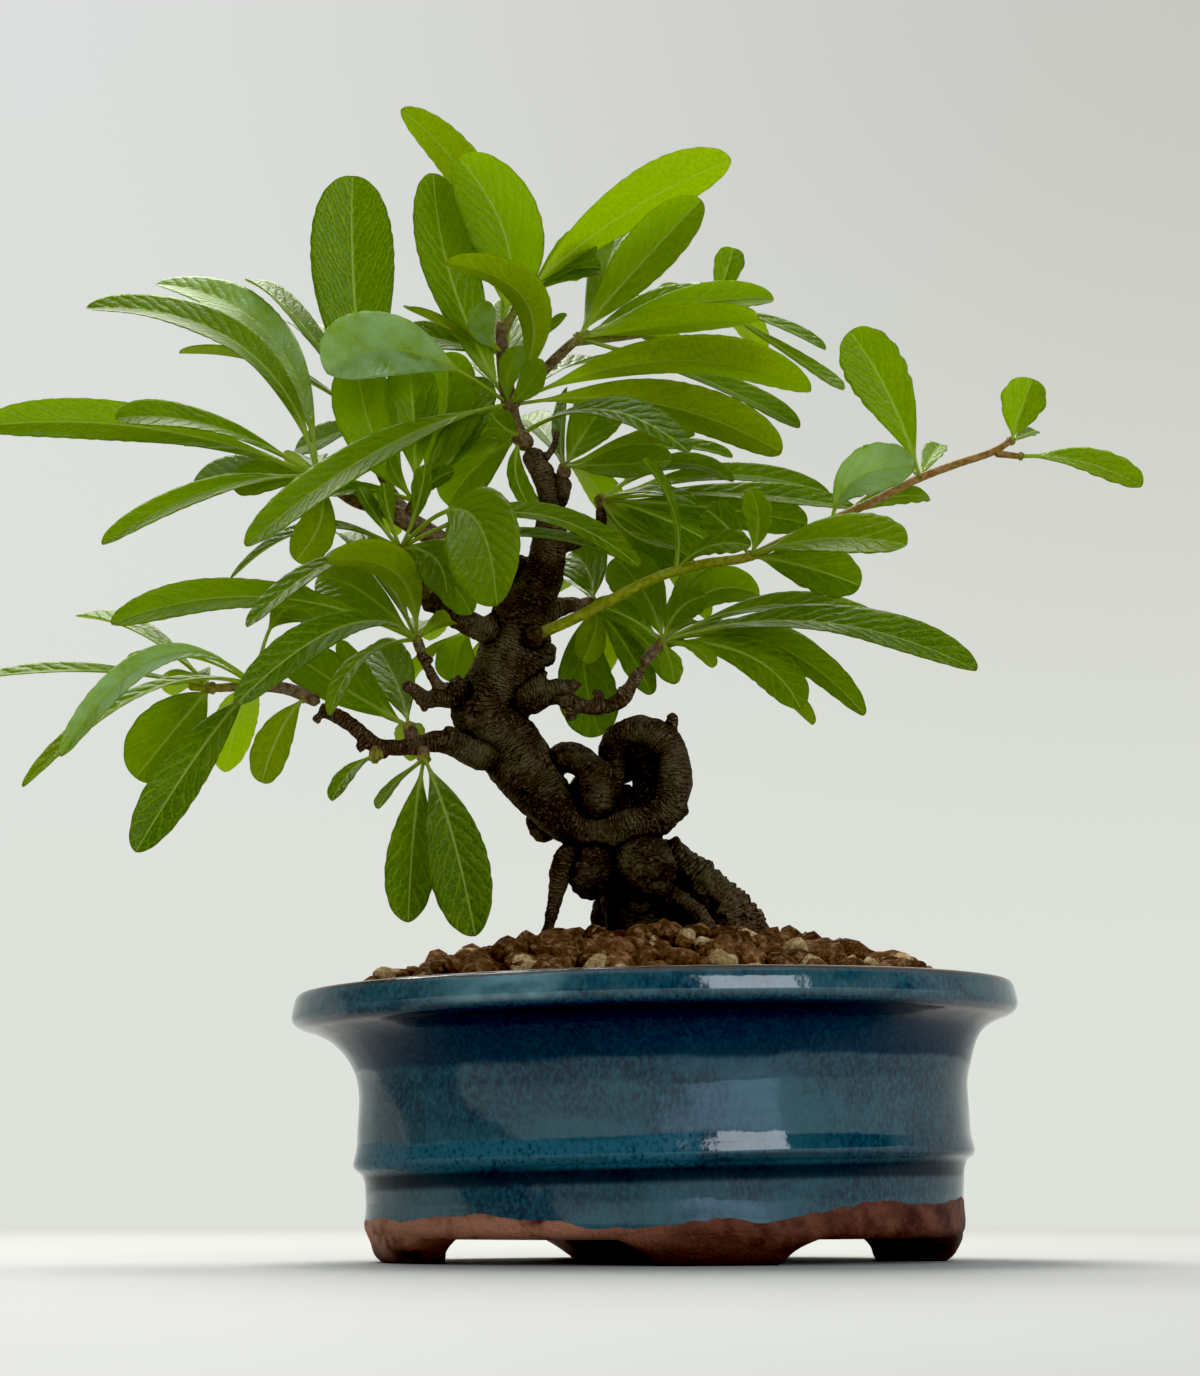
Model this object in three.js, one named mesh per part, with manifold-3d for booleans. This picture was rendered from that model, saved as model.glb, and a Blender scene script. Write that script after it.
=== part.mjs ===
// Firethorn bonsai: a small tree with a coiled trunk, growing in an oval glazed pot on four feet.
// Millimetres, +Z up, front towards -Y. The pot stands on z = 0.
import * as THREE from 'three';
import { mergeVertices } from 'three/addons/utils/BufferGeometryUtils.js';
import Module from 'manifold-3d';

// Pot: an oval bowl, thrown by eye, so that its rim climbs a little towards one end and its body sits
// a little off the rim's middle
const RIM_HALF_LENGTH = 76.7;
const RIM_HALF_DEPTH = 59.4;
const POT_TURN = THREE.MathUtils.degToRad(12.6);
const POT_LEAN = 0.026;
const BODY_OFFSET = 1.8;
const POT_SEGMENTS = 34;
const POT_FLOOR = 9.4;
// Half length of the bowl at each height, from its underside over the rim and down to its floor
const POT_PROFILE = [
  [61.2, 4.8], [63.1, 7], [62.4, 13], [62.9, 18], [65.3, 21.2], [64.4, 28], [64.4, 36.6],
  [65.6, 42], [68.4, 46.2], [74.6, 48.9], [76.8, 51], [76.4, 54.4], [74.3, 55.9], [71.4, 55.2],
  [69.4, 52.4], [61.4, 41], [59, 30], [57.5, 12], [54.5, POT_FLOOR],
];
const FOOT_HEIGHT = 5.6;
const FOOT_THICKNESS = 11;
const FOOT_HALF_WIDTH_LOW = 14.4;
const FOOT_HALF_WIDTH_HIGH = 21;
const DRAIN_DIAMETER = 10;
const DRAIN_SPACING = 62;
const SCREEN_SIZE = 20;
const SCREEN_THICKNESS = 0.9;
const SCREEN_BAR = 2.6;

// Soil: a mound of coarse grains
const SOIL_EDGE_HEIGHT = 53.2;
const SOIL_MOUND = 13.6;
const SOIL_FLOOR = 11.4;
const SOIL_RINGS = 10;
const SOIL_SEGMENTS = 42;
const SOIL_HALF_LENGTH = 66.8;
const GRAIN_RELIEF = 1.5;

// Space kept where two pieces meet
const GAP = 0.35;

// Leaves
const BLADE_THICKNESS = 0.66;
const BLADE_FOLD = THREE.MathUtils.degToRad(17);
const STALK_HALF_WIDTH = 0.4;
const TOOTH_DEPTH = 0.05;
const BLADE_STEP = 14;
const KNOB_RADIUS = 2.1;
const WHORL_SPREAD = 1.2;

// The eye that the front view is drawn from. Stations of wood and leaves are given as [x, z, y]:
// x and z as that view shows them on the plane y = 0, and y the depth at which they lie.
const EYE = new THREE.Vector3(-12.2, -555, 12.2);

// Wood, as [x, z, y, radius] along each stretch
const STEM_STEP = 4.2;
const WOOD = [
  // main trunk: from the hidden end of the large ring, round the ring, and leaning up to the crown
  [[-9.4, 96, 5, 2.6], [-9.3, 101.6, 3, 2.6], [-9.6, 107, 1.4, 2.8], [-7.6, 110.2, -0.4, 3], [-3.6, 111.3, -2.4, 3.1],
    [0.7, 110, -3.6, 3.3], [3, 107, -4, 3.5], [3.6, 102.4, -4, 3.8], [2.4, 96.4, -4, 4.2], [-0.4, 92.7, -3.8, 4.4],
    [-4.6, 90.6, -3.2, 4.4], [-9.6, 89.6, -2.4, 4.4], [-15, 90, -1.4, 4.8], [-19.8, 92.6, -0.4, 5.2],
    [-24.2, 97.2, 0, 5.9], [-27.8, 102.4, 0, 6.8], [-31.2, 106.8, 0, 7.1], [-34.4, 111, 0, 7.6], [-36, 115, 0, 8],
    [-35, 119, 0, 7.6], [-33.2, 122.8, 0, 7.2], [-31.8, 126.6, 0, 7.3], [-30.4, 130.4, 0, 7.3], [-29.6, 134, 0, 6.9],
    [-28.6, 137.6, 0, 6.3], [-27, 141, 0, 5.5], [-25.2, 144.8, 0, 4.8], [-23.9, 149, 0, 4.2], [-23.2, 153.6, 0, 3.7],
    [-22.9, 158.6, 0, 3.2], [-22.8, 163, 0, 2.9], [-24.8, 168.5, 0.5, 2.6], [-27.6, 174, 1, 2.4]],
  // small loop in front of the ring's left side
  [[-23.8, 100.6, 0.6, 3.2], [-21.8, 104.3, 0, 2.9], [-18.8, 105.4, -1, 3.2], [-15.4, 104, -2.4, 3.4],
    [-13, 100.4, -3.6, 4.1], [-12.9, 96.2, -3.6, 4], [-13.8, 92.4, -2, 3.6]],
  [[-17.6, 90.4, 3.4, 3.4], [-16.6, 94.6, 3.4, 3], [-14.6, 99, 2, 2.8]],
  // the turn of the trunk that shows behind the ring's hole
  [[-9, 110, 6, 3], [-7.4, 106.4, 9, 3.4], [-6.4, 103, 10, 2.4]],
  [[-3.4, 109.8, 1.6, 2.6], [-2, 106.4, 2.6, 3.4], [-1.4, 102, 3.2, 3.8], [-2, 97.4, 3, 3.8], [-4.4, 94, 2.4, 3.6],
    [-9, 92.6, 2, 3.8]],
  // lump low on the left of the coil
  [[-19, 93.6, 4.6, 4.2], [-22.6, 92.2, 5.4, 4], [-24.6, 90.8, 5, 3.6], [-21.4, 88.4, 4.6, 2.8]],
  // left and right lobes of the root crown
  [[-10.6, 88.6, 1, 5], [-12.8, 85, 0.2, 5], [-13.9, 80.8, 0, 5.2], [-11.6, 76, 1.2, 4.2]],
  [[-4, 87.6, 0.6, 5], [-3, 83.4, -1.6, 6.4], [-2.6, 79.8, -1.8, 6.5], [-3.6, 76.6, 0, 4.8]],
  // stem of the root crown, down into the soil
  [[-7.6, 89, 3.6, 4.6], [-7.4, 84, 4.4, 6.4], [-5.6, 76, 6, 6.6], [-4.4, 68, 6, 6.6], [-4, 60, 6, 6], [-4, 50, 6, 4]],
  // roots: thin left, thick right with its fan, slender front, and one behind
  [[-15.4, 86.6, 1.4, 2.8], [-19, 84.6, -1, 2.3], [-20.8, 81.4, -2, 2.1], [-21.4, 77, -2.4, 1.8],
    [-22.3, 72.6, -2.6, 1.6], [-23.2, 66, -2.6, 1.5], [-23.4, 58, -2.6, 1.3]],
  [[-1.6, 84.8, 3, 3.8], [3, 84, 3.2, 3.4], [6.8, 81.4, 3, 3.6], [10.4, 78.4, 2.8, 3.8], [13.8, 75, 2.8, 4.2],
    [16.6, 71.4, 3, 4.8], [17.8, 67, 3.4, 5.4], [18.2, 58, 4.4, 4.4]],
  [[1, 81, 9, 5], [4.6, 78, 9, 5], [6.2, 73, 8, 5.2], [6.6, 66, 7, 5.2], [6.6, 58, 7, 4.6]],
  [[2.2, 76.6, 1, 2], [4.8, 74.8, -2, 1.9], [7.6, 72.8, -3.6, 1.8], [9.8, 70.2, -4.4, 1.9], [11, 66.4, -4.6, 2.2],
    [11.4, 59, -4.6, 1.8]],
  [[-6, 82, 6, 5], [-9.5, 76, 13, 3.8], [-10.5, 68, 16, 3.6], [-10.5, 57, 16, 2.8]],
  // stub on the ring
  [[2.2, 108.6, -3.4, 1.9], [3.2, 112.6, -3.2, 1.3], [3.4, 115.4, -3, 1.2]],
  // short thick stub on the left of the trunk, cut flat
  [[-30, 131.6, -1, 4.4], [-36.6, 133, -4, 3], [-42.4, 136, -6.6, 2.6], [-48.4, 139.6, -9, 2.4]],
  // branch to the upper left
  [[-26, 146, 1, 3.8], [-37, 148.2, 2, 3.1], [-46, 151.5, 2, 2.7]],
  // stub on the middle left with its arm, and the spur above it
  [[-37, 119.4, -2, 3.6], [-42.4, 119, -4, 2.8], [-46.4, 118.4, -5, 2.1], [-50, 118.2, -6, 1.9],
    [-52.6, 120.4, -6.6, 1.4], [-55, 121.3, -7, 1.2]],
  [[-45.6, 119.4, -5, 1.5], [-47.8, 122.2, -5.8, 1.2], [-49.8, 126, -6.8, 1.1], [-51.2, 129, -7.6, 1.1]],
  // branch to the lower left
  [[-33, 107, -1, 5.6], [-38.4, 106.6, -3.4, 3.8], [-43, 108, -5.4, 2.8], [-47.6, 109, -7.4, 2.3],
    [-52, 107.8, -8.8, 1.8], [-56.6, 107.6, -9.8, 1.6], [-59.6, 107.8, -10.4, 1.7], [-62.8, 110, -11.2, 1.7],
    [-66, 112.8, -12, 1.7], [-69.6, 114.9, -12.5, 1.6], [-72.8, 116.6, -12.8, 1.6]],
  // branch to the lower right: a broken stub, the twig that goes on from under it, and its end
  [[-30, 118, -1, 5], [-25, 119, -2.4, 3.2], [-21.6, 119.8, -3, 2.7], [-18.2, 120.6, -3.4, 2.1]],
  [[-21.4, 118.6, -3, 2.3], [-17.4, 117.2, -3.4, 1.9], [-14, 116.3, -3.6, 1.6], [-10.4, 116.7, -4, 1.6],
    [-7.4, 118.2, -4.4, 1.7], [-5.2, 121.6, -4.8, 1.3], [-2.9, 125.4, -5, 1.2]],
  [[-18.4, 116.6, -3.4, 1.3], [-18.6, 114.6, -3.4, 1.1]],
  // collar that the long shoot leaves from
  [[-28, 131, -3, 3], [-26, 132.4, -8.4, 2.1]],
  // stub behind, stub at the upper fork, hook, and the two short branches on the right
  [[-26, 137, 3, 3.2], [-20, 138.6, 9, 2], [-16, 139.2, 12.4, 1.5]],
  [[-22.8, 159.5, 0, 2.9], [-20.6, 165, 0, 2.2], [-20.2, 167.8, 0, 1.9]],
  [[-25.6, 170.5, 0.5, 1.2], [-22.6, 174, 0, 0.8], [-21.4, 178.4, 0, 0.7]],
  [[-22.8, 152, 1, 2.8], [-16, 154, 5, 1.7], [-12, 157, 7, 1.3], [-12, 161, 7.4, 1.2]],
  // stub behind the trunk on the left
  [[-32, 131.5, 4, 4], [-38.4, 133, 9, 1.4]],
];

// Leafy pieces. Each has stems, [x, z, y, radius] along each, and whorls of leaves. A leaf is
// [tip x, tip z, tip y, middle x, middle z, width, face], where face is the turn of its upper side:
// 0 towards the eye, 90 up, 180 away. Behind gives a whorl more leaves that point away from the eye:
// [how many, first and last heading in degrees from +X, length, rise].
const SPRAYS = {
  spray_top: {
    stems: [
      [[-27.6, 174, 1, 2.1], [-31, 179, 2, 2], [-32.4, 186, 3, 1.8], [-33.6, 194, 4, 1.5], [-34.2, 203.4, 5, 1.2]],
      [[-31.8, 183.4, 3, 1.3], [-26, 190.4, 1, 1.2], [-19, 197.6, -1, 1.1], [-14.6, 201.2, -1, 0.8]],
      [[-33.8, 200, 4.6, 1], [-30.6, 207, 4, 0.9], [-27.2, 215, 3, 0.5]],
      [[-18, 198.4, -1, 0.9], [-5, 200, 14, 0.85], [7, 202.6, 27, 0.8], [13.4, 207.4, 34, 0.7]],
    ],
    whorls: [
      { at: [-32.2, 184, 2.6], leaves: [
        [-49.5, 238, 2, -44.6, 211, 14, 20],
        [-72.4, 191.2, -26, -55, 196.4, 18, 42, 0.24],
        [-46.5, 217, -27, -27.8, 206.5, 13, 150],
        [34.3, 187.6, -18, 2, 194.3, 13.5, 140],
        [27.6, 173.2, -9, -1, 184.6, 13, 150],
        [-89.3, 152, -36, -60, 174, 11, 40],
        [-29.2, 197.4, -13, -32.4, 191, 5.5, 20],
        [-24.8, 194.4, -16, -27.8, 188.6, 6.5, 15],
      ], behind: [3, 40, 130, 40, 36] },
      { at: [-29.4, 177, 1.6], leaves: [
        [7.3, 173.2, -28, -11.5, 182.8, 9, 60],
        [-36.4, 182.4, -12, -33.2, 178.8, 6.5, 10],
        [-45.6, 161.4, 22, -38.6, 170.6, 13, 15],
        [-25.6, 158.6, -9, -30.6, 167.5, 6, 30],
      ] },
      { at: [-33.8, 196, 4.2], leaves: [
        [-55.6, 206.6, -6, -47, 202.6, 7, 100],
        [-55.5, 201.6, 16, -46, 198.6, 8, 40],
        [-38.3, 208.2, -12, -38.6, 202, 7.5, 20],
        [-19.5, 204.8, -7, -26, 199.6, 5, 60],
      ], behind: [1, 120, 160, 38, 22] },
      { at: [-33.9, 202.6, 5], leaves: [
        [-57, 253.2, 18, -39, 231, 11, 150],
        [-44, 241.8, -4, -33, 222, 18, 15],
      ], behind: [1, 40, 80, 40, 46] },
      { at: [-30, 208.4, 4], leaves: [
        [17.2, 241.2, 4, -7.6, 228, 14.5, 150],
        [-12, 215.6, 8, -20.5, 214.6, 9, 40],
        [-14.6, 222.4, 8, -20, 217.6, 9, 20],
      ] },
      { at: [-17, 199.4, -1], leaves: [
        [10.4, 231.8, -12, -5, 214.5, 13, 20],
        [-8.2, 225.4, 19, -11.4, 213, 9, 20],
        [23, 204, -12, 3, 202.4, 10.5, 130],
        [26.3, 208.6, 8, 6, 206.8, 10, 45],
        [12, 210.8, 18, -2, 206.4, 8, 50],
        [31.7, 178.9, 8, 10, 190, 10, 60],
      ], behind: [2, 30, 90, 40, 14] },
      { at: [13, 207, 33.6], leaves: [
        [17.4, 220.4, 37, 15.6, 214, 7.4, 0],
        [37.5, 196.6, 26, 26, 202.8, 6.5, 70],
        [41.3, 187.4, 20, 30, 195.4, 6, 60],
      ], behind: [2, 40, 130, 34, 8] },
    ],
  },
  spray_upper_left: {
    stems: [
      [[-43, 150.4, 2, 2.4], [-53, 157, -1, 2.3], [-59.5, 160.4, -4, 1.7], [-66, 162.4, -7, 1.4],
        [-72, 166.6, -9, 1.2], [-75, 168.2, -10, 1]],
      [[-51, 155.6, 0, 1.7], [-57, 163, 5, 1.3], [-61.6, 172, 8, 1.1], [-63.6, 182, 8, 0.9]],
      [[-54.4, 158, -1.6, 1.3], [-52.6, 162.4, -4, 1.2]],
    ],
    whorls: [
      { at: [-52.6, 162, -4], leaves: [
        [-66, 195, -7, -61.6, 176, 14, 0],
        [-54.4, 194, -3, -53, 178, 12, 0],
        [-46.4, 196, 3, -46.8, 179, 14, 10],
        [-39, 190.5, 6, -43.4, 177, 12, 20],
        [-58.6, 172.4, -15, -57, 168, 4, 30],
        [-35.4, 179.6, 2, -43.6, 172.6, 13, 20],
        [-71.4, 163.4, -18, -62.6, 164.6, 5, 60],
        [-44, 169, -19, -48.6, 166.6, 4.4, 30],
      ] },
      { at: [-63.4, 181, 8], leaves: [
        [-67.6, 237.4, 3, -66.8, 211, 19.5, 0],
        [-90.2, 212.4, 22, -79, 203.4, 10, 60],
        [-79, 174, 32, -71, 177, 8, 50],
      ], behind: [3, 85, 185, 42, 30] },
      { at: [-74, 167.6, -9.6], leaves: [
        [-148, 179, -34, -111, 178.6, 10.5, 35],
        [-118.6, 180.8, -46, -97, 179, 8.5, 55],
        [-103.2, 174.6, 2, -91, 173.6, 7, 80],
        [-101.2, 166.2, 22, -89, 168.6, 10, 45],
        [-92.4, 165.8, -6, -84, 167.2, 9, 30],
        [-120.6, 152.4, -16, -97, 164.6, 7.5, 50],
        [-78.4, 148.8, -17, -73, 158.4, 9, 170],
        [-126, 206.4, 2, -91.5, 197.4, 12, 50],
        [-110.6, 212, 28, -85, 199.6, 11, 30],
      ], behind: [2, 50, 120, 44, 4] },
    ],
  },
  spray_middle_left: {
    stems: [
      [[-48.4, 139.6, -9, 2], [-52, 145.4, -11, 1.5], [-55.6, 151.4, -12.4, 1.3]],
    ],
    whorls: [
      { at: [-55.6, 151.4, -12.4], leaves: [
        [-34.5, 138.7, -42, -41.2, 159.6, 18, 15, 0.3],
        [-45.4, 141.4, -25, -48.2, 149.4, 10, 10],
        [-3.6, 147.3, -26, -29, 159.4, 7.5, 55],
        [-9, 149.6, -18, -30, 154.6, 5.5, 70],
        [-88.6, 134, -36, -72, 147.6, 6, 55],
        [-72.2, 149.4, -6, -64, 150.8, 6, 70],
        [-40, 136.8, -20, -46.6, 146, 8, 0],
        [-65, 165.4, -17, -61, 158.4, 4.6, 40, 0.3],
        [-59.6, 166.4, -19, -58.4, 159.4, 4.4, 30, 0.3],
        [-50.4, 170.4, -26, -52, 161, 4.6, 20, 0.3],
        [-92.6, 144.3, 2, -75, 156, 6.5, 70],
      ] },
    ],
  },
  spray_spur_left: {
    stems: [
      [[-50.6, 128, -7.4, 1.1], [-51.9, 131.6, -8, 1.2]],
    ],
    whorls: [
      { at: [-51.9, 131.2, -8], leaves: [
        [-118, 134.7, -26, -85, 140.6, 9.5, 40],
        [-71.6, 148.8, -32, -56.4, 146, 11, 150],
        [-73.6, 145, 8, -64, 142, 11, 0],
        [-90.6, 116.8, -42, -68, 134, 9, 40],
        [-70.2, 114.6, -27, -63.6, 127, 5, 55],
        [-44.2, 135.4, -14, -47, 135, 5, 150],
      ], behind: [2, 80, 140, 40, 24] },
    ],
  },
  spray_lower_left: {
    stems: [
      [[-72.4, 117.4, -12.8, 1.4], [-79.6, 120.4, -13, 1.3], [-88, 121, -14, 1.1], [-95, 120.6, -15, 0.9],
        [-101, 120.8, -16, 0.7]],
    ],
    whorls: [
      { at: [-75.6, 118.6, -13], leaves: [
        [-84.6, 100, -22, -80.8, 111.2, 8.5, 170],
      ] },
      { at: [-86.6, 121, -13.8], leaves: [
        [-127.8, 105.6, -40, -107, 127.4, 9.5, 40],
        [-135.6, 99, -36, -110, 119.8, 6, 65],
        [-69.8, 131.5, 10, -80.6, 137.6, 13, 10, 0.3],
        [-111, 85, -36, -97.4, 107.6, 12.5, 15],
      ], behind: [2, 80, 160, 40, -6] },
      { at: [-96, 120.6, -15.2], leaves: [
        [-111.6, 101, -10, -102, 113.4, 15, 10],
        [-148, 122.3, -16, -122, 124.4, 5.5, 70],
        [-105, 121.2, -9, -101, 122.4, 5, 120],
      ], behind: [2, 90, 175, 38, 14] },
    ],
  },
  leaves_under_branch: {
    stems: [
      [[-50.2, 107.8, -10, 1.3], [-49.8, 104.6, -12, 1.3]],
    ],
    whorls: [
      { at: [-49.9, 105.2, -11.8], leaves: [
        [-52.8, 70, -30, -51.8, 90, 12, 10],
        [-38.5, 67.1, -42, -44.2, 90.6, 14.5, -10],
        [-59.4, 94.3, -24, -55.6, 100, 4.5, 60],
      ] },
    ],
  },
  leaf_under_bend: {
    stems: [
      [[-60.2, 108, -11, 1.3], [-60.4, 105.6, -12.4, 1.1]],
    ],
    whorls: [
      { at: [-60.3, 105.9, -12.2], leaves: [
        [-69.4, 96, -22, -65.4, 102.4, 4.6, 45],
      ] },
    ],
  },
  leaves_on_branch: {
    stems: [
      [[-52.6, 108.8, -9, 1.5], [-53.4, 112.6, -8, 1.2]],
    ],
    whorls: [
      { at: [-53.3, 112.2, -8.2], leaves: [
        [-68.4, 131, 3, -61, 118.4, 6, 10],
        [-61, 130.4, 12, -56, 121.6, 11, 0],
        [-82, 130.6, -2, -68, 121, 11, 10],
      ], behind: [1, 80, 120, 32, 4] },
    ],
  },
  spray_lower_right: {
    stems: [
      [[-3.2, 125.2, -5, 1.2], [0, 129.4, -5, 1.2], [3, 130.4, -5, 0.9], [6.4, 131, -5, 0.6]],
    ],
    whorls: [
      { at: [1.4, 130.6, -5], leaves: [
        [69, 124.4, -28, 35, 135, 11.5, 55],
        [50.6, 133.7, -10, 26, 138.8, 8, 60],
        [36, 128.5, 8, 19, 134.6, 5.5, 70],
        [44.6, 114.6, -8, 24, 130.6, 8.5, 40],
        [31, 116, -12, 20, 127.6, 10, 20],
        [12, 125, -14, 8, 129.4, 5, 55],
        [3.8, 121.6, -16, 3, 126.4, 5, 0],
        [11, 141, -20, 5, 138, 7, 0],
        [22.4, 141.2, 12, 11, 141.6, 10, 20],
        [14, 146.4, 22, 7, 141.4, 9, 10],
        [-9, 149.4, 12, -2, 140.6, 12, 0],
        [-14, 139, -2, -6, 136, 6.5, 35],
      ], behind: [2, 24, 90, 42, -8] },
    ],
  },
  spray_behind_trunk: {
    stems: [
      [[-17, 139, 11.6, 1.3], [-13.6, 139.6, 14.4, 1.4]],
    ],
    whorls: [
      { at: [-13.8, 139.5, 14.2], leaves: [
        [-16, 126.4, 10, -13.2, 133.8, 7.5, 160],
        [-12, 110.2, 26, -15.6, 125, 14, 0],
        [-1, 119.2, 20, -7, 130.4, 6.5, 0],
        [4.4, 121.6, 26, -3.4, 132, 6.5, 0],
        [-18.4, 150.6, 24, -14.6, 146, 12, 0],
      ], behind: [3, 66, 150, 40, -4] },
    ],
  },
  leaf_beside_trunk: {
    stems: [
      [[-37.8, 132.8, 8.4, 1.2], [-40, 133.4, 10, 1]],
    ],
    whorls: [
      { at: [-39.8, 133.3, 9.8], leaves: [
        [-43.8, 121.8, 8, -42.8, 128.6, 9, 10],
      ], behind: [1, 110, 150, 36, -12] },
    ],
  },
  long_shoot: {
    stems: [
      [[-26.2, 132.2, -7.4, 1.5], [-18, 135.8, -11, 1.4], [-8, 141, -13, 1.35], [1, 145.4, -15, 1.25],
        [10, 148, -16, 1.2], [20, 149.6, -17, 1.15], [29, 153.8, -16, 1.05], [38, 157.7, -15, 1],
        [48, 162.4, -13, 1], [57.5, 167.3, -11, 0.95], [66, 170.6, -10, 0.9], [74, 173.4, -9, 0.85],
        [78.4, 176.2, -8.4, 0.7]],
      [[74, 173, -9, 0.8], [80.6, 172.2, -10, 0.6]],
    ],
    whorls: [
      { at: [4.2, 146.6, -15.4], leaves: [
        [-3, 171.6, -30, 3.6, 160, 6, 70],
        [20.6, 152, -30, 12, 152, 6, 40],
      ] },
      { at: [20.6, 149.8, -17], leaves: [
        [20.8, 165, -27, 22.4, 157.4, 6.5, 10],
        [11, 160.2, -8, 15.6, 156.2, 8, 0],
        [54.6, 152.3, -38, 37, 153.6, 12, 45],
        [44.3, 143.2, -16, 32, 147.5, 11, 15],
      ] },
      { at: [38.4, 157.8, -15], leaves: [
        [56.8, 169.8, -26, 44, 167, 14, 30],
        [59.8, 162.8, -2, 50, 162.6, 6, 40],
      ] },
      { at: [57.7, 167.4, -11], leaves: [
        [43, 201, -18, 51.8, 185.5, 15.5, 0],
        [62.4, 175, 6, 60.2, 172, 5, 20],
      ], behind: [1, 95, 125, 34, 34] },
      { at: [78, 175.8, -8.4], leaves: [
        [83.2, 190, -12, 80.2, 182.4, 10, 10],
        [83.4, 178.2, 6, 81, 177.2, 3.4, 40],
      ] },
      { at: [80, 172.3, -10], leaves: [
        [106.2, 165.4, -18, 93.4, 171, 9, 50],
      ] },
    ],
  },
  spray_upper_right: {
    stems: [
      [[-20.2, 167, 0, 1.7], [-20, 170.4, 0, 1.5]],
    ],
    whorls: [
      { at: [-20, 169.8, 0], leaves: [
        [-9, 187, 22, -15.4, 178, 12, 0],
        [8.6, 177.4, -9, -6, 174.6, 8, 120],
        [3.6, 171.4, -18, -8, 170.4, 9, 30],
        [-19.6, 188, 10, -20.6, 178, 6, 60],
        [16.8, 172, 2, 2, 174.4, 6, 60],
      ], behind: [2, 60, 130, 40, 12] },
    ],
  },
  spray_middle_right: {
    stems: [
      [[-12, 160, 7.3, 1.2], [-11.8, 163, 7.6, 1.3]],
    ],
    whorls: [
      { at: [-11.8, 162.4, 7.6], leaves: [
        [38, 163.6, 20, 14, 168, 8, 55],
        [43.6, 160.4, 4, 16, 163.8, 8, 60],
        [33, 157, 8, 14, 160.4, 10, 20],
        [14, 151.4, 10, 2, 158, 11, 25],
        [8, 149.6, 20, -2, 155, 12, 0],
        [4, 151.3, -4, -6, 155, 5, 60],
        [17, 166.6, 12, 3, 170.4, 7, 50],
        [9, 161, -6, 0, 164.4, 4, 60],
      ], behind: [2, 34, 105, 42, -22] },
    ],
  },
};

const COLOURS = {
  pot: new THREE.MeshStandardMaterial({ color: 0x2c5f70, roughness: 0.2, metalness: 0 }),
  screen: new THREE.MeshStandardMaterial({ color: 0x202322, roughness: 0.6, metalness: 0 }),
  soil: new THREE.MeshStandardMaterial({ color: 0x7c4f30, roughness: 0.95, metalness: 0 }),
  bark: new THREE.MeshStandardMaterial({ color: 0x3d322a, roughness: 0.9, metalness: 0 }),
  leaf: new THREE.MeshStandardMaterial({ color: 0x5a8a1c, roughness: 0.45, metalness: 0 }),
};

const wasm = await Module();
wasm.setup();

const random = (n) => {
  const s = Math.sin(n * 12.9898) * 43758.5453;
  return s - Math.floor(s);
};

// Carries a point of the front view along its line of sight to depth y.
function seen(x, z, y) {
  return new THREE.Vector3(
    x + (x - EYE.x) * y / -EYE.y,
    y,
    z + (z - EYE.z) * y / -EYE.y,
  );
}

// A closed mesh as a solid that can be joined and cut.
function solid(geometry) {
  const bare = geometry.clone();
  bare.deleteAttribute('normal');
  bare.deleteAttribute('uv');
  const merged = mergeVertices(bare, 1e-4);
  return new wasm.Manifold(new wasm.Mesh({
    numProp: 3,
    vertProperties: merged.getAttribute('position').array,
    triVerts: new Uint32Array(merged.index.array),
  }));
}

function geometryOf(body) {
  const { vertProperties, triVerts } = body.getMesh();
  const geometry = new THREE.BufferGeometry();
  geometry.setAttribute('position', new THREE.BufferAttribute(new Float32Array(vertProperties), 3));
  geometry.setIndex(new THREE.BufferAttribute(new Uint32Array(triVerts), 1));
  geometry.computeVertexNormals();
  return geometry;
}

// A closed skin over a row of rings with the same number of points, each running anticlockwise
// as seen from the far end, and closed flat at both ends.
function loft(rings) {
  const around = rings[0].length;
  const faces = [];
  for (let i = 0; i < rings.length - 1; i++) {
    for (let j = 0; j < around; j++) {
      const a = i * around + j;
      const b = i * around + (j + 1) % around;
      faces.push(a, b, b + around, a, b + around, a + around);
    }
  }
  const last = (rings.length - 1) * around;
  for (let j = 1; j < around - 1; j++) {
    faces.push(0, j + 1, j);
    faces.push(last, last + j, last + j + 1);
  }
  const geometry = new THREE.BufferGeometry().setFromPoints(rings.flat());
  geometry.setIndex(faces);
  return geometry;
}

// A round stem of changing radius through [x, z, y, radius] stations.
function stem(stations, sides, extra = 0) {
  const line = new THREE.CatmullRomCurve3(stations.map(([x, z, y]) => seen(x, z, y)), false, 'centripetal');
  const steps = Math.min(Math.floor((stations.length - 1) * 1.1 + 0.3), Math.ceil(line.getLength() / STEM_STEP));
  const frames = line.computeFrenetFrames(steps);
  const rings = [];
  for (let i = 0; i <= steps; i++) {
    const t = line.getUtoTmapping(i / steps) * (stations.length - 1);
    const k = Math.min(Math.floor(t), stations.length - 2);
    const radius = THREE.MathUtils.lerp(stations[k][3], stations[k + 1][3], t - k) + extra;
    const centre = line.getPointAt(i / steps);
    rings.push(Array.from({ length: sides }, (_, j) => {
      const turn = 2 * Math.PI * j / sides;
      return centre.clone()
        .addScaledVector(frames.normals[i], radius * Math.cos(turn))
        .addScaledVector(frames.binormals[i], radius * Math.sin(turn));
    }));
  }
  return loft(rings);
}

// Share of the full half width of a blade at a share of its length: narrow at the stalk, widest
// past the middle, and round at the tip.
function bladeOutline(along) {
  return Math.pow(along, 0.95) * Math.pow(1 - along, 0.5) / 0.404;
}

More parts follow.
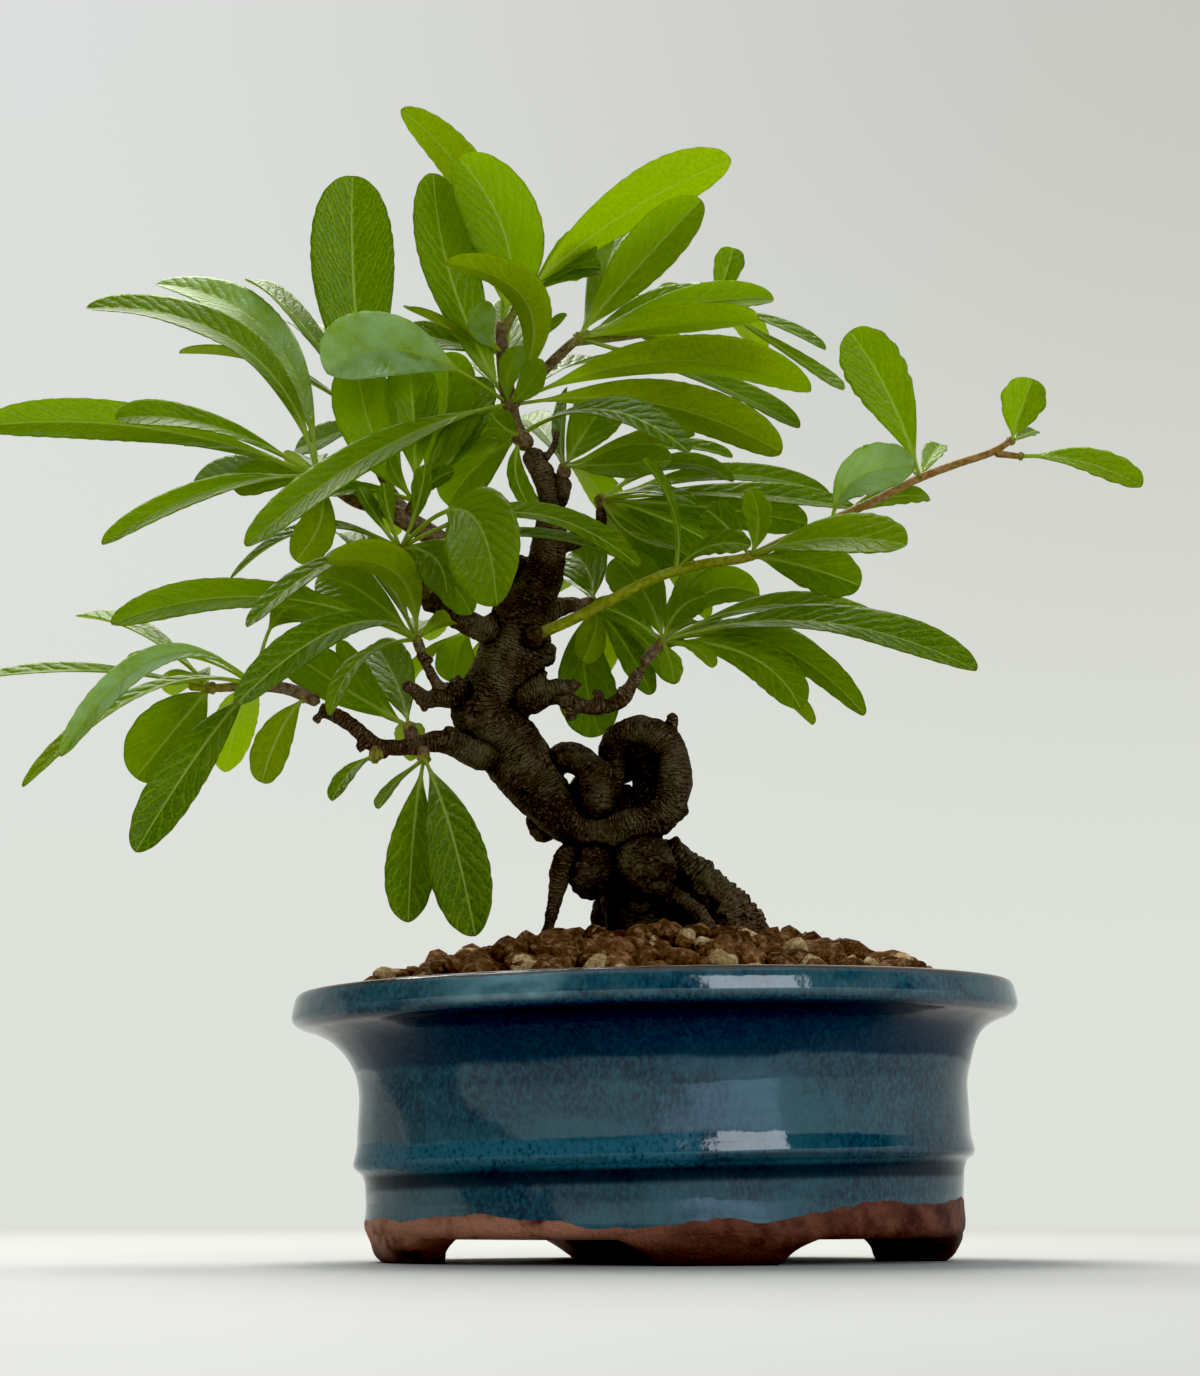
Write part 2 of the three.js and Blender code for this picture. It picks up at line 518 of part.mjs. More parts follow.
// A leaf: stalk and blade on one arched midrib, folded up a little along it, with teeth at the edge.
// Stalk and tip are plain edges, and every row between them has a point on the midrib.
function leaf({ base, middle, tip, normal, width, stalk = 0.1, seed = 0 }) {
  const bend = middle.clone().multiplyScalar(2).addScaledVector(base, -0.5).addScaledVector(tip, -0.5);
  const rib = new THREE.QuadraticBezierCurve3(base, bend, tip);
  const bladeSteps = THREE.MathUtils.clamp(Math.round(rib.getLength() / BLADE_STEP), 3, 5);
  const along = [0];
  for (let i = 0; i <= bladeSteps; i++) {
    along.push(stalk + (1 - stalk) * (1 - Math.pow(1 - i / bladeSteps, 1.5)));
  }
  const tangents = along.map((t) => rib.getTangent(t));
  // The upper side's direction is set at the middle and carried to both ends without twist
  const square = (up, tangent) => up.clone().addScaledVector(tangent, -up.dot(tangent)).normalize();
  const centre = Math.floor(along.length / 2);
  const ups = [];
  ups[centre] = square(normal, tangents[centre]);
  for (let i = centre + 1; i < along.length; i++) ups[i] = square(ups[i - 1], tangents[i]);
  for (let i = centre - 1; i >= 0; i--) ups[i] = square(ups[i + 1], tangents[i]);
  const top = [];
  const under = [];
  const rows = along.map((t, i) => {
    const side = new THREE.Vector3().crossVectors(tangents[i], ups[i]);
    const share = Math.max(0, (t - stalk) / (1 - stalk));
    const tooth = 1 + TOOTH_DEPTH * (i % 2 ? -1 : 1);
    const half = Math.max(STALK_HALF_WIDTH, width / 2 * bladeOutline(share) * tooth);
    const blade = half > STALK_HALF_WIDTH;
    const fold = blade ? BLADE_FOLD : 0;
    const wave = blade ? 0.04 * half * Math.sin(5 * t + 6 * random(seed)) : 0;
    return (i < 2 || i === along.length - 1 ? [-1, 1] : [-1, 0, 1]).map((across) => {
      const point = rib.getPoint(t)
        .addScaledVector(side, across * half * Math.cos(fold))
        .addScaledVector(ups[i], Math.abs(across) * half * Math.sin(fold) + across * wave);
      top.push(point.clone().addScaledVector(ups[i], BLADE_THICKNESS / 2));
      under.push(point.clone().addScaledVector(ups[i], -BLADE_THICKNESS / 2));
      return top.length - 1;
    });
  });
  const lower = top.length;
  const faces = [];
  const both = (a, b, c) => faces.push(a, b, c, lower + a, lower + c, lower + b);
  for (let i = 0; i < rows.length - 1; i++) {
    const near = rows[i];
    const far = rows[i + 1];
    if (far.length === 2 && near.length === 2) {
      both(near[0], near[1], far[0]);
      both(near[1], far[1], far[0]);
    } else if (near.length === 2) {
      both(near[0], far[1], far[0]);
      both(near[0], near[1], far[1]);
      both(near[1], far[2], far[1]);
    } else if (far.length === 2) {
      both(near[0], near[1], far[0]);
      both(near[1], far[1], far[0]);
      both(near[1], near[2], far[1]);
    } else {
      both(near[0], near[1], far[0]);
      both(near[1], far[1], far[0]);
      both(near[1], near[2], far[2]);
      both(near[1], far[2], far[1]);
    }
  }
  const border = [...rows.map((row) => row[row.length - 1]), ...rows.map((row) => row[0]).reverse()];
  border.forEach((a, i) => {
    const b = border[(i + 1) % border.length];
    faces.push(a, lower + a, b, b, lower + a, lower + b);
  });
  const geometry = new THREE.BufferGeometry().setFromPoints([...top, ...under]);
  geometry.setIndex(faces);
  return geometry;
}

// Direction of a leaf's upper side: square to its length, turned by face from the eye towards up.
function upperSide(base, middle, tip, face) {
  const length = tip.clone().sub(base).normalize();
  const toEye = EYE.clone().sub(middle);
  toEye.addScaledVector(length, -toEye.dot(length)).normalize();
  const up = new THREE.Vector3().crossVectors(toEye, length);
  if (up.z < 0) up.negate();
  const turn = THREE.MathUtils.degToRad(face);
  return toEye.multiplyScalar(Math.cos(turn)).addScaledVector(up, Math.sin(turn));
}

function drawnLeaf(base, row, seed) {
  const [tipX, tipZ, tipY, middleX, middleZ, width, face, stalk] = row;
  const tip = seen(tipX, tipZ, tipY);
  const middle = seen(middleX, middleZ, (base.y + tipY) / 2);
  return leaf({ base, middle, tip, normal: upperSide(base, middle, tip, face), width, stalk, seed });
}

// Leaves that fill a whorl's far side, fanned evenly over the given headings, each arched over.
function leavesBehind(base, [count, first, last, length, rise], seed) {
  return Array.from({ length: count }, (_, i) => {
    const heading = THREE.MathUtils.degToRad(first + (last - first) * (i + 0.5) / count + 14 * (random(seed + i) - 0.5));
    const lift = THREE.MathUtils.degToRad(rise + (i % 2 ? 16 : -10) + 8 * (random(seed + i + 40) - 0.5));
    const reach = length * (0.86 + 0.28 * random(seed + i + 80));
    const out = new THREE.Vector3(Math.cos(heading) * Math.cos(lift), Math.sin(heading) * Math.cos(lift), Math.sin(lift));
    const tip = base.clone().addScaledVector(out, reach);
    const middle = base.clone().addScaledVector(out, reach / 2);
    middle.z += 0.1 * reach;
    const normal = new THREE.Vector3(0.3 * (random(seed + i + 120) - 0.5), -0.25, 1);
    return leaf({ base, middle, tip, normal, width: reach * 0.24, seed: seed + i });
  });
}

// Joining and cutting can leave loose scraps and sealed hollows, which are dropped.
function mainBody(joined) {
  return joined.decompose().sort((a, b) => b.volume() - a.volume())[0];
}

// The whole woody part, or the room that it takes with some clearance round it.
function wood(extra = 0) {
  const stretches = WOOD.map((stations) => {
    const thickest = Math.max(...stations.map((station) => station[3]));
    const sides = thickest > 5 ? 9 : thickest > 3 ? 7 : thickest > 2 ? 6 : 5;
    return solid(stem(stations, sides, extra));
  });
  return mainBody(wasm.Manifold.union(stretches).simplify(0.25));
}

const trunk = wood();
const trunkSpace = wood(GAP);

// The leaves of a whorl. Their stalks leave it in the order of their depth, so that they cross
// as little as they can: the ones that come towards the eye start nearest to it.
function whorlLeaves({ at, leaves, behind }, seed) {
  const centre = seen(...at);
  const order = leaves.map((row, i) => i).sort((i, j) => leaves[i][2] - leaves[j][2]);
  const spread = Math.min(WHORL_SPREAD, 0.5 * leaves.length);
  const blades = leaves.map((row, i) => {
    const share = leaves.length > 1 ? order.indexOf(i) / (leaves.length - 1) - 0.5 : 0;
    return drawnLeaf(centre.clone().add(new THREE.Vector3(0, share * spread, 0)), row, seed + i);
  });
  return behind ? [...blades, ...leavesBehind(centre, behind, seed)] : blades;
}

function spray({ stems, whorls }, index) {
  const solids = stems.map((stations) => solid(stem(stations, 6)));
  whorls.forEach((whorl, i) => {
    const centre = seen(...whorl.at);
    const knob = new THREE.IcosahedronGeometry(KNOB_RADIUS);
    solids.push(solid(knob.translate(centre.x, centre.y, centre.z)));
    whorlLeaves(whorl, 100 * index + 10 * i).forEach((blade) => solids.push(solid(blade)));
  });
  return mainBody(wasm.Manifold.union(solids).subtract(trunkSpace).simplify(0.2));
}

// Turns a point of the pot's own oval into place, leans its upper part, and moves what lies below
// the rim a little to the right.
function settle(x, y, z) {
  const turned = new THREE.Vector3(x, y, z).applyAxisAngle(new THREE.Vector3(0, 0, 1), POT_TURN);
  turned.z += POT_LEAN * turned.x * THREE.MathUtils.smoothstep(z, 5, 16);
  turned.x += BODY_OFFSET * (1 - THREE.MathUtils.smoothstep(z, 38, 50));
  return turned;
}

function ovalRing(halfLength, z, segments) {
  const halfDepth = halfLength - (RIM_HALF_LENGTH - RIM_HALF_DEPTH);
  return Array.from({ length: segments }, (_, j) => {
    const t = 2 * Math.PI * j / segments;
    return settle(halfLength * Math.cos(t), halfDepth * Math.sin(t), z);
  });
}

// A foot: a stretch of the oval's own wall, narrower at the ground.
function foot(direction) {
  const halfLength = POT_PROFILE[0][0] - 0.6;
  const halfDepth = halfLength - (RIM_HALF_LENGTH - RIM_HALF_DEPTH);
  const span = direction % Math.PI === 0 ? halfDepth : halfLength;
  const levels = [
    { z: 0, half: FOOT_HALF_WIDTH_LOW, inset: 1.6 },
    { z: FOOT_HEIGHT, half: FOOT_HALF_WIDTH_HIGH, inset: 0 },
  ];
  return loft(levels.map(({ z, half, inset }) => {
    const arc = (depth, sign) => Array.from({ length: 6 }, (_, k) => {
      const t = direction + sign * (half / span) * (k / 2.5 - 1);
      return settle((halfLength - depth) * Math.cos(t), (halfDepth - depth) * Math.sin(t), z);
    });
    return [...arc(inset, 1), ...arc(FOOT_THICKNESS - inset, -1)];
  }));
}

function pot() {
  const bowl = solid(loft(POT_PROFILE.map(([halfLength, z]) => ovalRing(halfLength, z, POT_SEGMENTS))));
  const feet = [0, 0.5, 1, 1.5].map((share) => solid(foot(share * Math.PI)));
  const drains = [-0.5, 0.5].map((side) => {
    const hole = new THREE.CylinderGeometry(DRAIN_DIAMETER / 2, DRAIN_DIAMETER / 2, 12, 14).rotateX(Math.PI / 2);
    const place = settle(side * DRAIN_SPACING, 0, 0);
    return solid(hole.translate(place.x, place.y, 8));
  });
  return wasm.Manifold.union([bowl, ...feet]).subtract(wasm.Manifold.union(drains));
}

// A square of plastic mesh that keeps the soil in above a drain hole.
function screen() {
  const pitch = SCREEN_SIZE / 2;
  const opening = pitch - SCREEN_BAR;
  const sheet = solid(new THREE.BoxGeometry(SCREEN_SIZE, SCREEN_SIZE, SCREEN_THICKNESS));
  const openings = [];
  for (const x of [-0.5, 0.5]) {
    for (const y of [-0.5, 0.5]) {
      openings.push(solid(new THREE.BoxGeometry(opening, opening, 4).translate(x * pitch, y * pitch, 0)));
    }
  }
  return sheet.subtract(wasm.Manifold.union(openings));
}

// The soil fills the bowl and rises in a mound of grains round the trunk.
function soil() {
  const inner = RIM_HALF_LENGTH - RIM_HALF_DEPTH;
  const wall = [[53.6, SOIL_FLOOR], [56.6, 13], [58.1, 30], [60.4, 41], [SOIL_HALF_LENGTH, 50]];
  const rings = wall.map(([halfLength, z]) => ovalRing(halfLength, z, SOIL_SEGMENTS));
  for (let i = 0; i < SOIL_RINGS; i++) {
    const reach = Math.pow(1 - i / SOIL_RINGS, 0.8);
    rings.push(Array.from({ length: SOIL_SEGMENTS }, (_, j) => {
      const n = i * SOIL_SEGMENTS + j;
      const t = 2 * Math.PI * (j + 0.5 * (random(n) - 0.5)) / SOIL_SEGMENTS;
      const share = reach * (1 - 0.02 * random(n + 500));
      const edge = SOIL_HALF_LENGTH + 1;
      const height = SOIL_EDGE_HEIGHT + SOIL_MOUND * Math.pow(1 - reach * reach, 1.05)
        + GRAIN_RELIEF * (random(n + 900) - 0.5) * (i > 0 ? 2 : 0.6);
      return settle(edge * share * Math.cos(t), (edge - inner) * share * Math.sin(t), height);
    }));
  }
  return solid(loft(rings)).subtract(trunkSpace);
}

const bonsai = new THREE.Group();

function add(name, geometry, material) {
  const mesh = new THREE.Mesh(geometry, material);
  mesh.name = name;
  bonsai.add(mesh);
  return mesh;
}

add('pot', geometryOf(pot()), COLOURS.pot);
for (const [name, side] of [['drain_screen_left', -0.5], ['drain_screen_right', 0.5]]) {
  const sheet = add(name, geometryOf(screen()), COLOURS.screen);
  const place = settle(side * DRAIN_SPACING, 0, POT_FLOOR);
  sheet.position.set(place.x, place.y, place.z + SCREEN_THICKNESS / 2 + GAP);
  sheet.rotation.z = POT_TURN;
}
add('soil', geometryOf(soil()), COLOURS.soil);
add('trunk', geometryOf(trunk), COLOURS.bark);
Object.entries(SPRAYS).forEach(([name, rows], index) => {
  add(name, geometryOf(spray(rows, index + 1)), COLOURS.leaf);
});

// The origin is under the middle of the whole object's box
bonsai.updateMatrixWorld(true);
const box = new THREE.Box3().setFromObject(bonsai);
bonsai.position.set(-(box.min.x + box.max.x) / 2, -(box.min.y + box.max.y) / 2, -box.min.z);

export default bonsai;
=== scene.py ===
# Firethorn bonsai in an oval glazed pot: a coiled, leaning trunk with leafy sprays, in coarse soil.
# Lengths are in millimetres until a mesh is made.
import math
import bpy
import numpy as np
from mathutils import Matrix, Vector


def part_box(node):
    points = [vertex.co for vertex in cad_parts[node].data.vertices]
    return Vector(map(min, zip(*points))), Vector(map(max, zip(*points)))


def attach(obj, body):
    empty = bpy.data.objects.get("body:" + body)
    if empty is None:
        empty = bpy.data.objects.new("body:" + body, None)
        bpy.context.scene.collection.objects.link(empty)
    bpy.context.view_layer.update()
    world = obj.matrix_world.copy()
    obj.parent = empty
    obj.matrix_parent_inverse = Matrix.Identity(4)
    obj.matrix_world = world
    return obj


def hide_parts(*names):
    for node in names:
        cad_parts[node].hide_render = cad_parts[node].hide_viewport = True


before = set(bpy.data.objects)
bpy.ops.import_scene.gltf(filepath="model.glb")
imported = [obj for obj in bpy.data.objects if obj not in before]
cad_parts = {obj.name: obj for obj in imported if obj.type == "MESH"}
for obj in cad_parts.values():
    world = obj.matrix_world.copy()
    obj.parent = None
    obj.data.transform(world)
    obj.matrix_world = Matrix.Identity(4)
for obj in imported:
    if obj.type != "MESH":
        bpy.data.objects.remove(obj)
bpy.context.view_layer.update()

# The pot. An oval bowl of stoneware, made by eye, so its lip climbs a little to the right and its body
# sits a little right of the lip. It is glazed blue-green down to a wavy line above the foot, and the
# foot ring and the four feet cut from it are bare reddish clay.
pot_low, pot_high = (np.array(corner) * 1000 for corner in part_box("pot"))
POT_CENTRE = np.array([(pot_low[0] + pot_high[0]) / 2, (pot_low[1] + pot_high[1]) / 2, 0])
RIM_HALF_LENGTH = 76.7
RIM_HALF_DEPTH = 59.4
POT_TURN = math.radians(12.6)
POT_LEAN = 0.026
POT_UNDERSIDE = 4.8
POT_FLOOR = 9.4
BODY_OFFSET = 1.8
# Half length of the bowl at each height, from its underside over the rim and down to its floor
OUTER_WALL = [
    (58.6, 4.8), (61, 5), (62.5, 6), (62.9, 7.6), (62.8, 9.4), (62.68, 11), (62.66, 12.6),
    (62.8, 14.6), (63, 17), (63.7, 18.9), (65.1, 20), (65.5, 20.9), (65.25, 22.4), (64.95, 23.7),
    (64.8, 25), (64.7, 28), (64.5, 31.6), (64.4, 35), (64.8, 38), (65.7, 41), (67.1, 43.7),
    (69.2, 46.1), (72.4, 47.9), (75.2, 48.9), (76.5, 49.8), (76.95, 50.9), (76.85, 51.9),
    (76.65, 53), (76.4, 54.1), (76.05, 55), (75.4, 55.65), (74.4, 55.9),
]
INNER_WALL = [
    (74.4, 55.9), (72.6, 55.8), (70.6, 54.9), (69.4, 52.6), (66, 47.4), (61.6, 41.4), (59.6, 34),
    (58.6, 24), (57.6, 13), (54.5, 9.4),
]


def through(stations, count, measured):
    """Points on a centripetal Catmull-Rom curve through the stations. Its knots are spaced by the
    square root of the distance in the first columns, as many as measured says."""
    p = np.asarray(stations, float)
    p = np.vstack([2 * p[0] - p[1], p, 2 * p[-1] - p[-2]])
    gaps = np.linalg.norm(np.diff(p[:, :measured], axis=0), axis=1) ** 0.5
    knots = np.concatenate([[0], np.cumsum(gaps)])
    t = np.linspace(knots[1], knots[-2], count)
    k = np.clip(np.searchsorted(knots, t, side="right") - 1, 1, len(p) - 3)
    t = t[:, None]
    t0, t1, t2, t3 = (knots[k + n][:, None] for n in (-1, 0, 1, 2))
    p0, p1, p2, p3 = (p[k + n] for n in (-1, 0, 1, 2))
    a = (p0 * (t1 - t) + p1 * (t - t0)) / (t1 - t0)
    b = (p1 * (t2 - t) + p2 * (t - t1)) / (t2 - t1)
    c = (p2 * (t3 - t) + p3 * (t - t2)) / (t3 - t2)
    d = (a * (t2 - t) + b * (t - t0)) / (t2 - t0)
    e = (b * (t3 - t) + c * (t - t1)) / (t3 - t1)
    return (d * (t2 - t) + e * (t - t1)) / (t2 - t1)


def ripple(points, size, seed):
    """Smooth noise of about -1 to 1: a sum of twenty sine waves, about size long, in random ways."""
    waves = 20
    draw = np.random.default_rng(seed)
    ways = draw.normal(size=(waves, 3))
    ways /= np.linalg.norm(ways, axis=1)[:, None]
    ways *= 2 * math.pi / size * draw.uniform(0.6, 1.5, (waves, 1))
    return np.sin(points @ ways.T + draw.uniform(0, 2 * math.pi, waves)).sum(1) / waves ** 0.5


def ring_faces(rows, around):
    """Faces of a skin over rows of points that each go once around, closed flat at both ends."""
    i, j = (n.ravel() for n in np.meshgrid(np.arange(rows - 1), np.arange(around), indexing="ij"))
    a = i * around + j
    b = i * around + (j + 1) % around
    quads = np.stack([a, b, b + around, a + around], 1)
    k = np.arange(1, around - 1)
    last = (rows - 1) * around
    start = np.stack([0 * k, k + 1, k], 1)
    end = np.stack([0 * k, k, k + 1], 1) + last
    return quads, np.vstack([start, end])


def make_mesh(name, parts, attributes=None, surfaces=None):
    """One mesh from parts, each of which is (points, quads, triangles). Attributes hold a number for
    each point, and surfaces the material's place in the list for each part."""
    points, quads, triangles, looks = [], [], [], []
    first = 0
    for number, (p, q, t) in enumerate(parts):
        points.append(p)
        quads.append(q + first)
        triangles.append(t + first)
        first += len(p)
        look = surfaces[number] if surfaces else 0
        looks.append((np.full(len(q), look), np.full(len(t), look)))
    points = np.concatenate(points) * 0.001
    quads, triangles = np.concatenate(quads), np.concatenate(triangles)
    looks = np.concatenate([q for q, t in looks] + [t for q, t in looks])
    mesh = bpy.data.meshes.new(name)
    mesh.vertices.add(len(points))
    mesh.vertices.foreach_set("co", points.ravel())
    corners = np.concatenate([quads.ravel(), triangles.ravel()])
    mesh.loops.add(len(corners))
    mesh.loops.foreach_set("vertex_index", corners.astype(np.int32))
    sizes = np.concatenate([np.full(len(quads), 4), np.full(len(triangles), 3)])
    mesh.polygons.add(len(sizes))
    starts = np.concatenate([[0], np.cumsum(sizes)[:-1]])
    mesh.polygons.foreach_set("loop_start", starts.astype(np.int32))
    mesh.polygons.foreach_set("material_index", looks.astype(np.int32))
    mesh.polygons.foreach_set("use_smooth", np.ones(len(sizes), bool))
    for label, values in (attributes or {}).items():
        layer = mesh.attributes.new(label, "FLOAT", "POINT")
        layer.data.foreach_set("value", np.concatenate(values).astype(np.float32))
    mesh.update()
    mesh.validate()
    return mesh


def add_object(name, data):
    """A new object in the scene, which holds the mesh, light or camera that is given."""
    added = bpy.data.objects.new(name, data)
    bpy.context.scene.collection.objects.link(added)
    return added


def place_piece(name, mesh, materials, nodes):
    """Puts a finished mesh into the scene in place of the CAD nodes that it stands for."""
    for material in materials:
        mesh.materials.append(material)
    piece = add_object(name, mesh)
    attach(piece, "root")
    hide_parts(*nodes)


class Wire:
    """A shader socket that takes part in sums."""

    def __init__(self, finish, socket):
        self.finish = finish
        self.socket = socket

    def maths(self, operation, *values):
        """Adds a Math node for the operation on values, which are wires or numbers."""
        settings = {"operation": operation}
        return self.finish.node("ShaderNodeMath", settings, dict(enumerate(values)))

    def __add__(self, other):
        return self.maths("ADD", self, other)

    def __sub__(self, other):
        return self.maths("SUBTRACT", self, other)

    def __rsub__(self, other):
        return self.maths("SUBTRACT", other, self)

    def __mul__(self, other):
        return self.maths("MULTIPLY", self, other)

    def __truediv__(self, other):
        return self.maths("DIVIDE", self, other)

    def __rtruediv__(self, other):
        return self.maths("DIVIDE", other, self)

    __radd__ = __add__
    __rmul__ = __mul__

    def size(self):
        """The value without its sign."""
        return self.maths("ABSOLUTE", self)

    def fraction(self):
        """What is left of the value past the whole number below it."""
        return self.maths("FRACT", self)

    def ramp(self, low, high):
        """0 below low and 1 above high, with a soft step between. Low may be the greater."""
        settings = {"interpolation_type": "SMOOTHSTEP"}
        sockets = {"Value": self, "From Min": low, "From Max": high}
        return self.finish.node("ShaderNodeMapRange", settings, sockets)


class Finish:
    """A material whose shader is built from wires and nodes."""

    def __init__(self, name):
        self.material = bpy.data.materials.new(name)
        self.material.use_nodes = True
        self.tree = self.material.node_tree
        self.tree.nodes.clear()
        self.place = self.node("ShaderNodeTexCoord", output="Object")

    def node(self, kind, settings=None, sockets=None, output=0):
        """Adds a node with its settings, then sets or links its sockets, and gives one output."""
        made = self.tree.nodes.new(kind)
        for key, value in (settings or {}).items():
            setattr(made, key, value)
        for key, value in (sockets or {}).items():
            if isinstance(value, Wire):
                self.tree.links.new(value.socket, made.inputs[key])
            else:
                made.inputs[key].default_value = value
        return Wire(self, made.outputs[output])

    def axis(self, letter):
        """X, Y or Z of the place on the object, in millimetres."""
        return self.node("ShaderNodeSeparateXYZ", None, {0: self.place}, letter) * 1000

    def note(self, label):
        """The number that the mesh holds for each point under the label."""
        return self.node("ShaderNodeAttribute", {"attribute_name": label}, None, "Fac")

    def noise(self, size, detail=3.0, stretch=(1, 1, 1)):
        """Cloudy noise of 0 to 1 with features about size millimetres wide, drawn out by stretch."""
        scale = tuple(1 / s for s in stretch)
        mapped = self.node("ShaderNodeMapping", None, {"Vector": self.place, "Scale": scale})
        sockets = {"Vector": mapped, "Scale": 1000 / size, "Detail": detail, "Roughness": 0.55}
        return self.node("ShaderNodeTexNoise", None, sockets, "Fac")

    def cells(self, size, feature="F1"):
        """Distance to the nearest of scattered points about size apart, or to the edges between."""
        sockets = {"Vector": self.place, "Scale": 1000 / size}
        return self.node("ShaderNodeTexVoronoi", {"feature": feature}, sockets, "Distance")

    def mix(self, share, first, second):
        """The first colour where share is 0, and the second where it is 1."""
        first, second = (c if isinstance(c, Wire) else (*c, 1) for c in (first, second))
        return self.node("ShaderNodeMix", {"data_type": "RGBA"}, {0: share, 6: first, 7: second}, 2)

    def bump(self, height, depth, normal=None):
        """A normal that follows height, where a height of 1 stands depth millimetres proud."""
        sockets = {"Height": height, "Strength": 1.0, "Distance": depth / 1000}
        if normal:
            sockets["Normal"] = normal
        return self.node("ShaderNodeBump", None, sockets)

    def surface(self, **values):
        """The Principled shader, with its sockets set by name."""
        sockets = {label.replace("_", " "): value for label, value in values.items()}
        return self.node("ShaderNodeBsdfPrincipled", None, sockets)

    def blend(self, share, first, second):
        """The first shader where share is 0, and the second where it is 1."""
        return self.node("ShaderNodeMixShader", None, {0: share, 1: first, 2: second})

    def done(self, shader):
        """The finished material, which shows the shader."""
        output = self.tree.nodes.new("ShaderNodeOutputMaterial")
        self.tree.links.new(shader.socket, output.inputs["Surface"])
        return self.material


def oval(half_length, half_depth, height, angle):
    """Points of an oval about the pot's own middle, turned into place. Its upper part leans, and
    what lies below the lip is pushed to the right."""
    x = half_length * np.cos(angle)
    y = half_depth * np.sin(angle)
    across = x * math.cos(POT_TURN) - y * math.sin(POT_TURN)
    back = x * math.sin(POT_TURN) + y * math.cos(POT_TURN)
    share = np.clip((height - 5) / 11, 0, 1)
    lean = POT_LEAN * across * share * share * (3 - 2 * share)
    below = np.clip((50 - height) / 12, 0, 1)
    off = BODY_OFFSET * below * below * (3 - 2 * below)
    return np.stack([across + off, back, height + lean + 0 * across], -1) + POT_CENTRE


def bowl():
    """The bowl as ovals stacked up the outside and down the inside, joined by flat rings across the
    underside and the floor. The outside keeps some slight swellings."""
    outer = through(OUTER_WALL, 110, 2)
    inner = through(INNER_WALL, 60, 2)[1:]
    wall = np.vstack([outer, inner])
    depth_less = RIM_HALF_LENGTH - RIM_HALF_DEPTH
    rings = 12
    under = np.linspace(0.002, 0.97, rings)[:, None] * [outer[0, 0], outer[0, 0] - depth_less, 0]
    under += [0, 0, POT_UNDERSIDE]
    floor = np.linspace(0.97, 0.002, rings)[:, None] * [inner[-1, 0], inner[-1, 0] - depth_less, 0]
    floor += [0, 0, POT_FLOOR]
    rows = np.vstack([under, np.stack([wall[:, 0], wall[:, 0] - depth_less, wall[:, 1]], 1), floor])
    angle = np.linspace(0, 2 * math.pi, 256, endpoint=False)
    points = oval(rows[:, 0, None], rows[:, 1, None], rows[:, 2, None], angle[None, :])
    outside = np.zeros(len(rows))
    outside[rings:rings + len(outer)] = np.sin(np.linspace(0, math.pi, len(outer))) ** 0.5
    outward = np.stack([np.cos(angle + POT_TURN), np.sin(angle + POT_TURN), 0 * angle], -1)
    flat = points.reshape(-1, 3)
    swell = 0.2 * ripple(flat, 34, 3) + 0.03 * ripple(flat, 11, 4)
    points += (swell.reshape(points.shape[:2]) * outside[:, None])[..., None] * outward
    return points.reshape(-1, 3), *ring_faces(len(rows), len(angle))


FOOT_TOP = 8
FOOT_GAP_HEIGHT = 6.2
FOOT_HALF_WIDTH = 14.4
FOOT_FLARE = 12
FOOT_HALF_THICKNESS = 5.8
FOOT_RING_HALF_LENGTH = 63.1


def foot(direction):
    """A foot as rounded blocks stacked up: a stretch of the foot ring's own wall, with flanks that
    sweep out towards the bowl. Each block's outline is a superellipse of power 7."""
    levels, around = 30, 80
    height = np.linspace(0, FOOT_TOP, levels)
    share = np.clip(height / FOOT_GAP_HEIGHT, 0, 1)
    half_width = FOOT_HALF_WIDTH + FOOT_FLARE * share ** 2.1
    edge = 0.9 * np.clip(1 - height / 1.6, 0, 1) ** 2
    t = np.linspace(0, 2 * math.pi, around, endpoint=False)
    power = 2 / 7
    along = np.sign(np.cos(t)) * np.abs(np.cos(t)) ** power
    across = np.sign(np.sin(t)) * np.abs(np.sin(t)) ** power
    half_length = FOOT_RING_HALF_LENGTH
    half_depth = half_length - (RIM_HALF_LENGTH - RIM_HALF_DEPTH)
    span = half_depth if direction % math.pi == 0 else half_length
    angle = direction - (half_width - edge)[:, None] * along / span
    inset = 6.2 - (FOOT_HALF_THICKNESS - edge)[:, None] * across + 2.8 * (1 - share[:, None]) ** 1.3
    points = oval(half_length - inset, half_depth - inset, height[:, None], angle)
    uneven = 0.22 * ripple(points[1:-1].reshape(-1, 3), 9, 5)
    points[1:-1, :, :2] += uneven.reshape(levels - 2, around, 1)
    return points.reshape(-1, 3), *ring_faces(levels, around)


def modified_mesh(piece):
    """A mesh of the piece as its modifiers leave it. The modifiers are then taken off."""
    bpy.context.view_layer.update()
    made = piece.evaluated_get(bpy.context.evaluated_depsgraph_get())
    mesh = bpy.data.meshes.new_from_object(made)
    piece.modifiers.clear()
    return mesh


def drill(piece, place, radius):
    """The piece's mesh with a round hole cut upwards through its floor, at a place in millimetres."""
    around = 40
    angle = np.linspace(0, 2 * math.pi, around, endpoint=False)
    circle = np.stack([np.cos(angle), np.sin(angle), 0 * angle], -1) * radius
    rows = np.stack([circle + place + [0, 0, z] for z in (-3.0, 14.0)])
    plug = make_mesh("cutter", [(rows.reshape(-1, 3), *ring_faces(2, around))])
    cutter = add_object("cutter", plug)
    cut = piece.modifiers.new("hole", "BOOLEAN")
    cut.object = cutter
    cut.solver = "EXACT"
    drilled = modified_mesh(piece)
    bpy.data.objects.remove(cutter)
    return drilled


